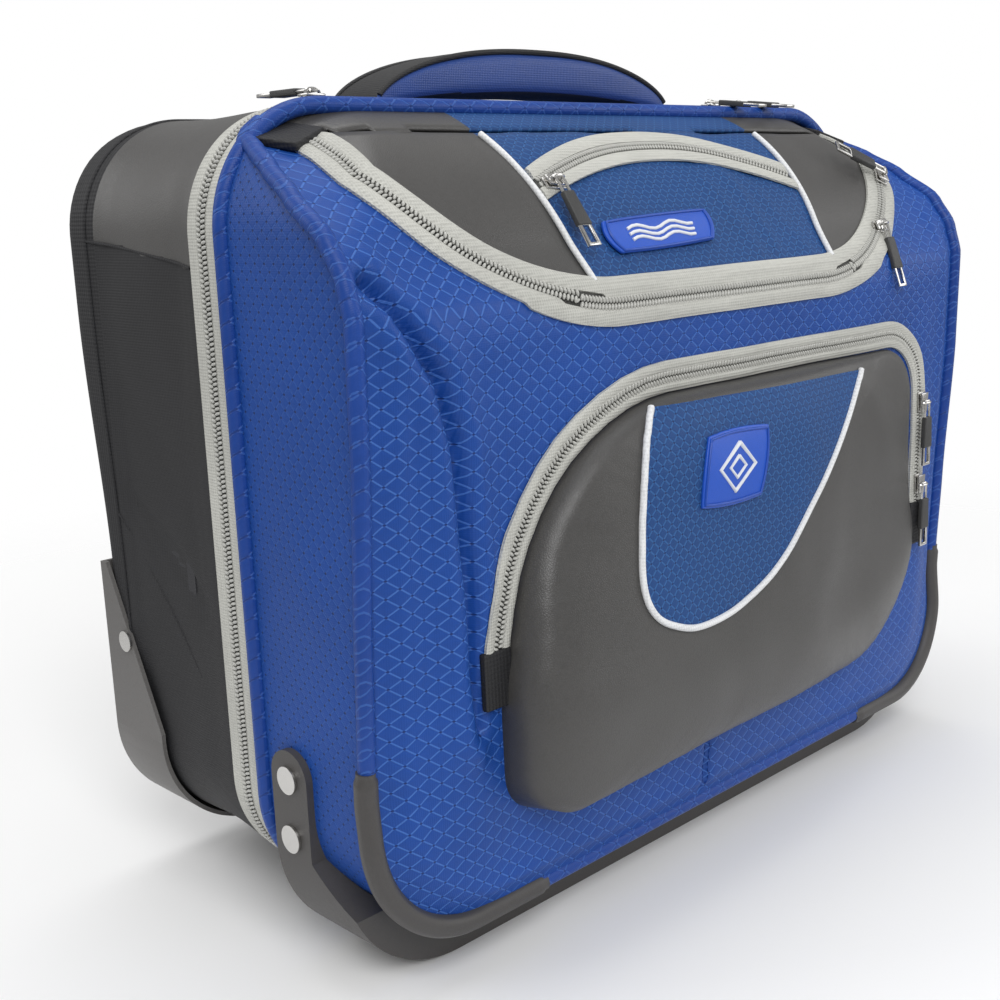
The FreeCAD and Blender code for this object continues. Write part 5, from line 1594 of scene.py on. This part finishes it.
def shoulder_frame(x, z, way):
    out = Vector((0, shoulder_y(z) - SHOULDER_Y, z - SHOULDER_Z)).normalized()
    return fitting_frame(Vector((x, shoulder_y(z), z)) + out * 0.0012, way, out)


class CASE_OT_sliders(bpy.types.Operator):
    """Zip sliders, and pulls with a rubber sleeve and an open metal end"""
    bl_idname = "case.sliders"
    bl_label = "Sliders and pulls"

    def execute(self, context):
        places = [("main_slider_" + k, "main_pull_" + k, fitting_frame(
            Vector((x, ZIP_Y, TOP_Z + 0.0015)), (way, 0, 0), (0, 0, 1)), False, dip)
            for k, x, way, dip in (("a", 0.112, 1, 7), ("b", 0.138, 1, 7), ("c", -0.157, -1, 0))]
        places.append(("top_pocket_slider", "top_pocket_pull", shoulder_frame(-0.084, TOP_Z - 0.0355, (1, 0,
                0)),
                       False, 7))
        for k, degrees, way, dip in (("a", 50, (-0.43, 0, -0.9), 0), ("b", 33, (1, 0, 0), 7)):
            angle = math.radians(degrees)
            places.append(("flap_slider_" + k, "flap_pull_" + k, shoulder_frame(
                FLAP_FLAT + FLAP_TURN * math.sin(angle), FLAP_LOW + FLAP_TURN * (1 - math.cos(angle)), way),
                False, dip))
        for k, z in (("a", 0.198), ("b", 0.152)):
            places.append(("pocket_slider_" + k, "pocket_pull_" + k, fitting_frame(
                front_point(P_RIGHT, z, 0.0012)[0], (1, 0, 0), (0, -1, 0)), True, 0))
        seeds = {False: slider_seed(False), True: slider_seed(True)}
        pull = pull_seed()
        for slider, pull_name, frame_of, across, dip in places:
            about = Vector((0, 0, 0.0054))
            tip = Matrix.Translation(about) @ Matrix.Rotation(math.radians(dip), 4,
                                                              "X") @ Matrix.Translation(-about)
            for name, seed, turned in ((slider, seeds[across], frame_of), (pull_name, pull, frame_of @ tip)):
                mesh = seed.data.copy()
                mesh.transform(turned)
                obj = bpy.data.objects.new(name + "_metal", mesh)
                bpy.context.scene.collection.objects.link(obj)
                body = "top_flap" if name.startswith("flap_slider") else name
                finish_piece(obj, [] if name == pull_name else mat("Nickel"), body, [name],
                             smooth_angle=40)
        for seed in (*seeds.values(), pull):
            bpy.data.objects.remove(seed, do_unlink=True)
        return {"FINISHED"}


# ---------------------------------------------------------------- hard parts carried from the frame

HARD = {
    "Moulded trim": ["foot_bar"], "Nickel": ["foot_rivets", "guard_rivets"],
    "Guard plastic": ["corner_guard_left", "corner_guard_right"],
    "Rear plastic": ["wheel_housing_left", "wheel_housing_right", "trolley_base", "trolley_bezel",
                     "carry_anchors"],
    "Tube metal": ["trolley_outer_tubes", "trolley_middle_tubes", "trolley_inner_tubes"],
    "Axle steel": ["wheel_axles"], "Grip plastic": ["trolley_grip"], "Button plastic": ["grip_button"],
    "Tyre rubber": ["wheel_tyre_left", "wheel_tyre_right"], "Hub plastic": ["wheel_hub_left",
                                                                            "wheel_hub_right"],
    "Black webbing": ["carry_straps"], "Inner board": ["back_board"],
    "Lining cloth": ["front_divider", "laptop_divider"],
}
EDGES = {"foot_rivets": 0.0007, "guard_rivets": 0.0006, "trolley_bezel": 0.0010,
         "trolley_grip": 0.0012, "grip_button": 0.0006, "corner_guard_left": 0.0006,
         "corner_guard_right": 0.0006,
         "wheel_housing_left": 0.0008, "wheel_housing_right": 0.0008}


class CASE_OT_hard_parts(bpy.types.Operator):
    """Finishes for the parts carried over from the frame: foot, rivets, guards, wheels and trolley"""
    bl_idname = "case.hard_parts"
    bl_label = "Hard parts"

    def execute(self, context):
        for name, nodes in HARD.items():
            for node in nodes:
                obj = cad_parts[node]
                obj.data.materials.clear()
                obj.data.materials.append(mat(name))
                only(obj)
                if node in EDGES:
                    weld = obj.modifiers.new("Weld", "WELD")
                    weld.merge_threshold = 0.00001
                    bevel = obj.modifiers.new("Bevel", "BEVEL")
                    bevel.width, bevel.segments, bevel.limit_method = EDGES[node], 3, "ANGLE"
                    bevel.angle_limit = math.radians(50)
                    bevel.harden_normals = False
        return {"FINISHED"}


# ---------------------------------------------------------------- stage

class CASE_OT_stage(bpy.types.Operator):
    """Pale floor and backdrop, soft lamps and the camera"""
    bl_idname = "case.stage"
    bl_label = "Stage"

    def execute(self, context):
        scene = context.scene
        clear()
        bpy.ops.mesh.primitive_circle_add(vertices=96, radius=1.6, fill_type="NGON", location=(0, 0, -0.0006))
        floor = context.object
        floor.name = "floor"
        made = bpy.data.materials.new("Floor")
        made.use_nodes = True
        tree = Tree(made.node_tree)
        shader = made.node_tree.nodes["Principled BSDF"]
        shader.inputs["Base Color"].default_value = (0.93, 0.93, 0.93, 1)
        shader.inputs["Roughness"].default_value = 0.75
        where = tree.add("ShaderNodeTexCoord").outputs["Object"]
        far = tree.add("ShaderNodeVectorMath", where, operation="LENGTH").outputs["Value"]
        tree.put(shader.inputs["Alpha"], tree.ramp(far, 0.30, 0.95, 1.0, 0.0))
        floor.data.materials.append(made)

        world = bpy.data.worlds.new("Studio")
        scene.world = world
        world.use_nodes = True
        tree = Tree(world.node_tree)
        plain = world.node_tree.nodes["Background"]
        plain.inputs["Color"].default_value = (1.0, 1.0, 1.0, 1)
        plain.inputs["Strength"].default_value = 0.40
        white = tree.add("ShaderNodeBackground", (1, 1, 1, 1), 1.0)
        path = tree.add("ShaderNodeLightPath").outputs
        seen = tree.math("MAXIMUM", path["Is Camera Ray"], path["Is Transmission Ray"])
        mixed = tree.add("ShaderNodeMixShader", seen, plain.outputs[0], white.outputs[0])
        tree.put(world.node_tree.nodes["World Output"].inputs["Surface"], mixed.outputs[0])

        for name, place, power, size, target in (
                ("key_lamp", (-1.1, -1.5, 1.7), 30.0, 1.2, (0, -0.02, 0.18)),
                ("fill_lamp", (1.6, -1.4, 1.0), 13.0, 1.4, (0, -0.02, 0.18)),
                ("top_lamp", (0.1, 0.3, 2.2), 16.0, 1.5, (0, 0, 0.2)),
                ("rear_lamp", (-1.3, 1.3, 1.2), 9.0, 1.2, (0, 0.05, 0.18))):
            lamp = bpy.data.lights.new(name, "AREA")
            lamp.energy, lamp.size = power, size
            obj = bpy.data.objects.new(name, lamp)
            obj.location = place
            obj.rotation_mode = "QUATERNION"
            obj.rotation_quaternion = (Vector(target) - Vector(place)).to_track_quat("-Z", "Y")
            scene.collection.objects.link(obj)

        yaw, pitch, roll = 0.76557, 0.22407, -0.037166
        ahead = Vector((math.sin(yaw) * math.cos(pitch), math.cos(yaw) * math.cos(pitch), -math.sin(pitch)))
        right = Vector((math.cos(yaw), -math.sin(yaw), 0))
        up = right.cross(ahead)
        x = right * math.cos(roll) + up * math.sin(roll)
        y = up * math.cos(roll) - right * math.sin(roll)
        data = bpy.data.cameras.new("camera")
        data.lens, data.sensor_width = 48.79, 36.0
        data.clip_start, data.clip_end = 0.02, 20.0
        camera = bpy.data.objects.new("camera", data)
        made = Matrix((x, y, -ahead)).transposed().to_4x4()
        made.translation = (-0.50986, -0.46492, 0.31959)
        camera.matrix_world = made
        scene.collection.objects.link(camera)
        scene.camera = camera
        scene.view_settings.view_transform = "Standard"
        return {"FINISHED"}


# ---------------------------------------------------------------- panel and run

OPERATORS = [CASE_OT_front_panel, CASE_OT_gusset, CASE_OT_piping, CASE_OT_main_zip, CASE_OT_flap_zip,
             CASE_OT_flap_panel, CASE_OT_top_pocket_zip, CASE_OT_pocket, CASE_OT_pocket_inset,
             CASE_OT_pocket_zip,
             CASE_OT_badges, CASE_OT_rear_cloth, CASE_OT_rear_seams, CASE_OT_carry_handle, CASE_OT_sliders,
             CASE_OT_hard_parts, CASE_OT_stage]


class CASE_PT_panel(bpy.types.Panel):
    """Sizes, colours and the pieces of the case"""
    bl_idname = "CASE_PT_panel"
    bl_label = "Rolling laptop case"
    bl_space_type = "VIEW_3D"
    bl_region_type = "UI"
    bl_category = "Case"

    def draw(self, context):
        for group in (context.scene.case_sizes, context.scene.case_colours):
            for name in group.bl_rna.properties.keys():
                if name not in ("rna_type", "name"):
                    self.layout.prop(group, name)
        for operator in OPERATORS:
            self.layout.operator(operator.bl_idname)


CLASSES = [CaseSizes, CaseColours, *OPERATORS, CASE_PT_panel]


def register():
    for made in CLASSES:
        bpy.utils.register_class(made)
    bpy.types.Scene.case_sizes = PointerProperty(type=CaseSizes)
    bpy.types.Scene.case_colours = PointerProperty(type=CaseColours)


def unregister():
    del bpy.types.Scene.case_sizes
    del bpy.types.Scene.case_colours
    for made in reversed(CLASSES):
        bpy.utils.unregister_class(made)


def main():
    register()
    make_groups()
    make_materials()
    for operator in OPERATORS:
        module, name = operator.bl_idname.split(".")
        getattr(getattr(bpy.ops, module), name)()


if __name__ == "__main__":
    main()
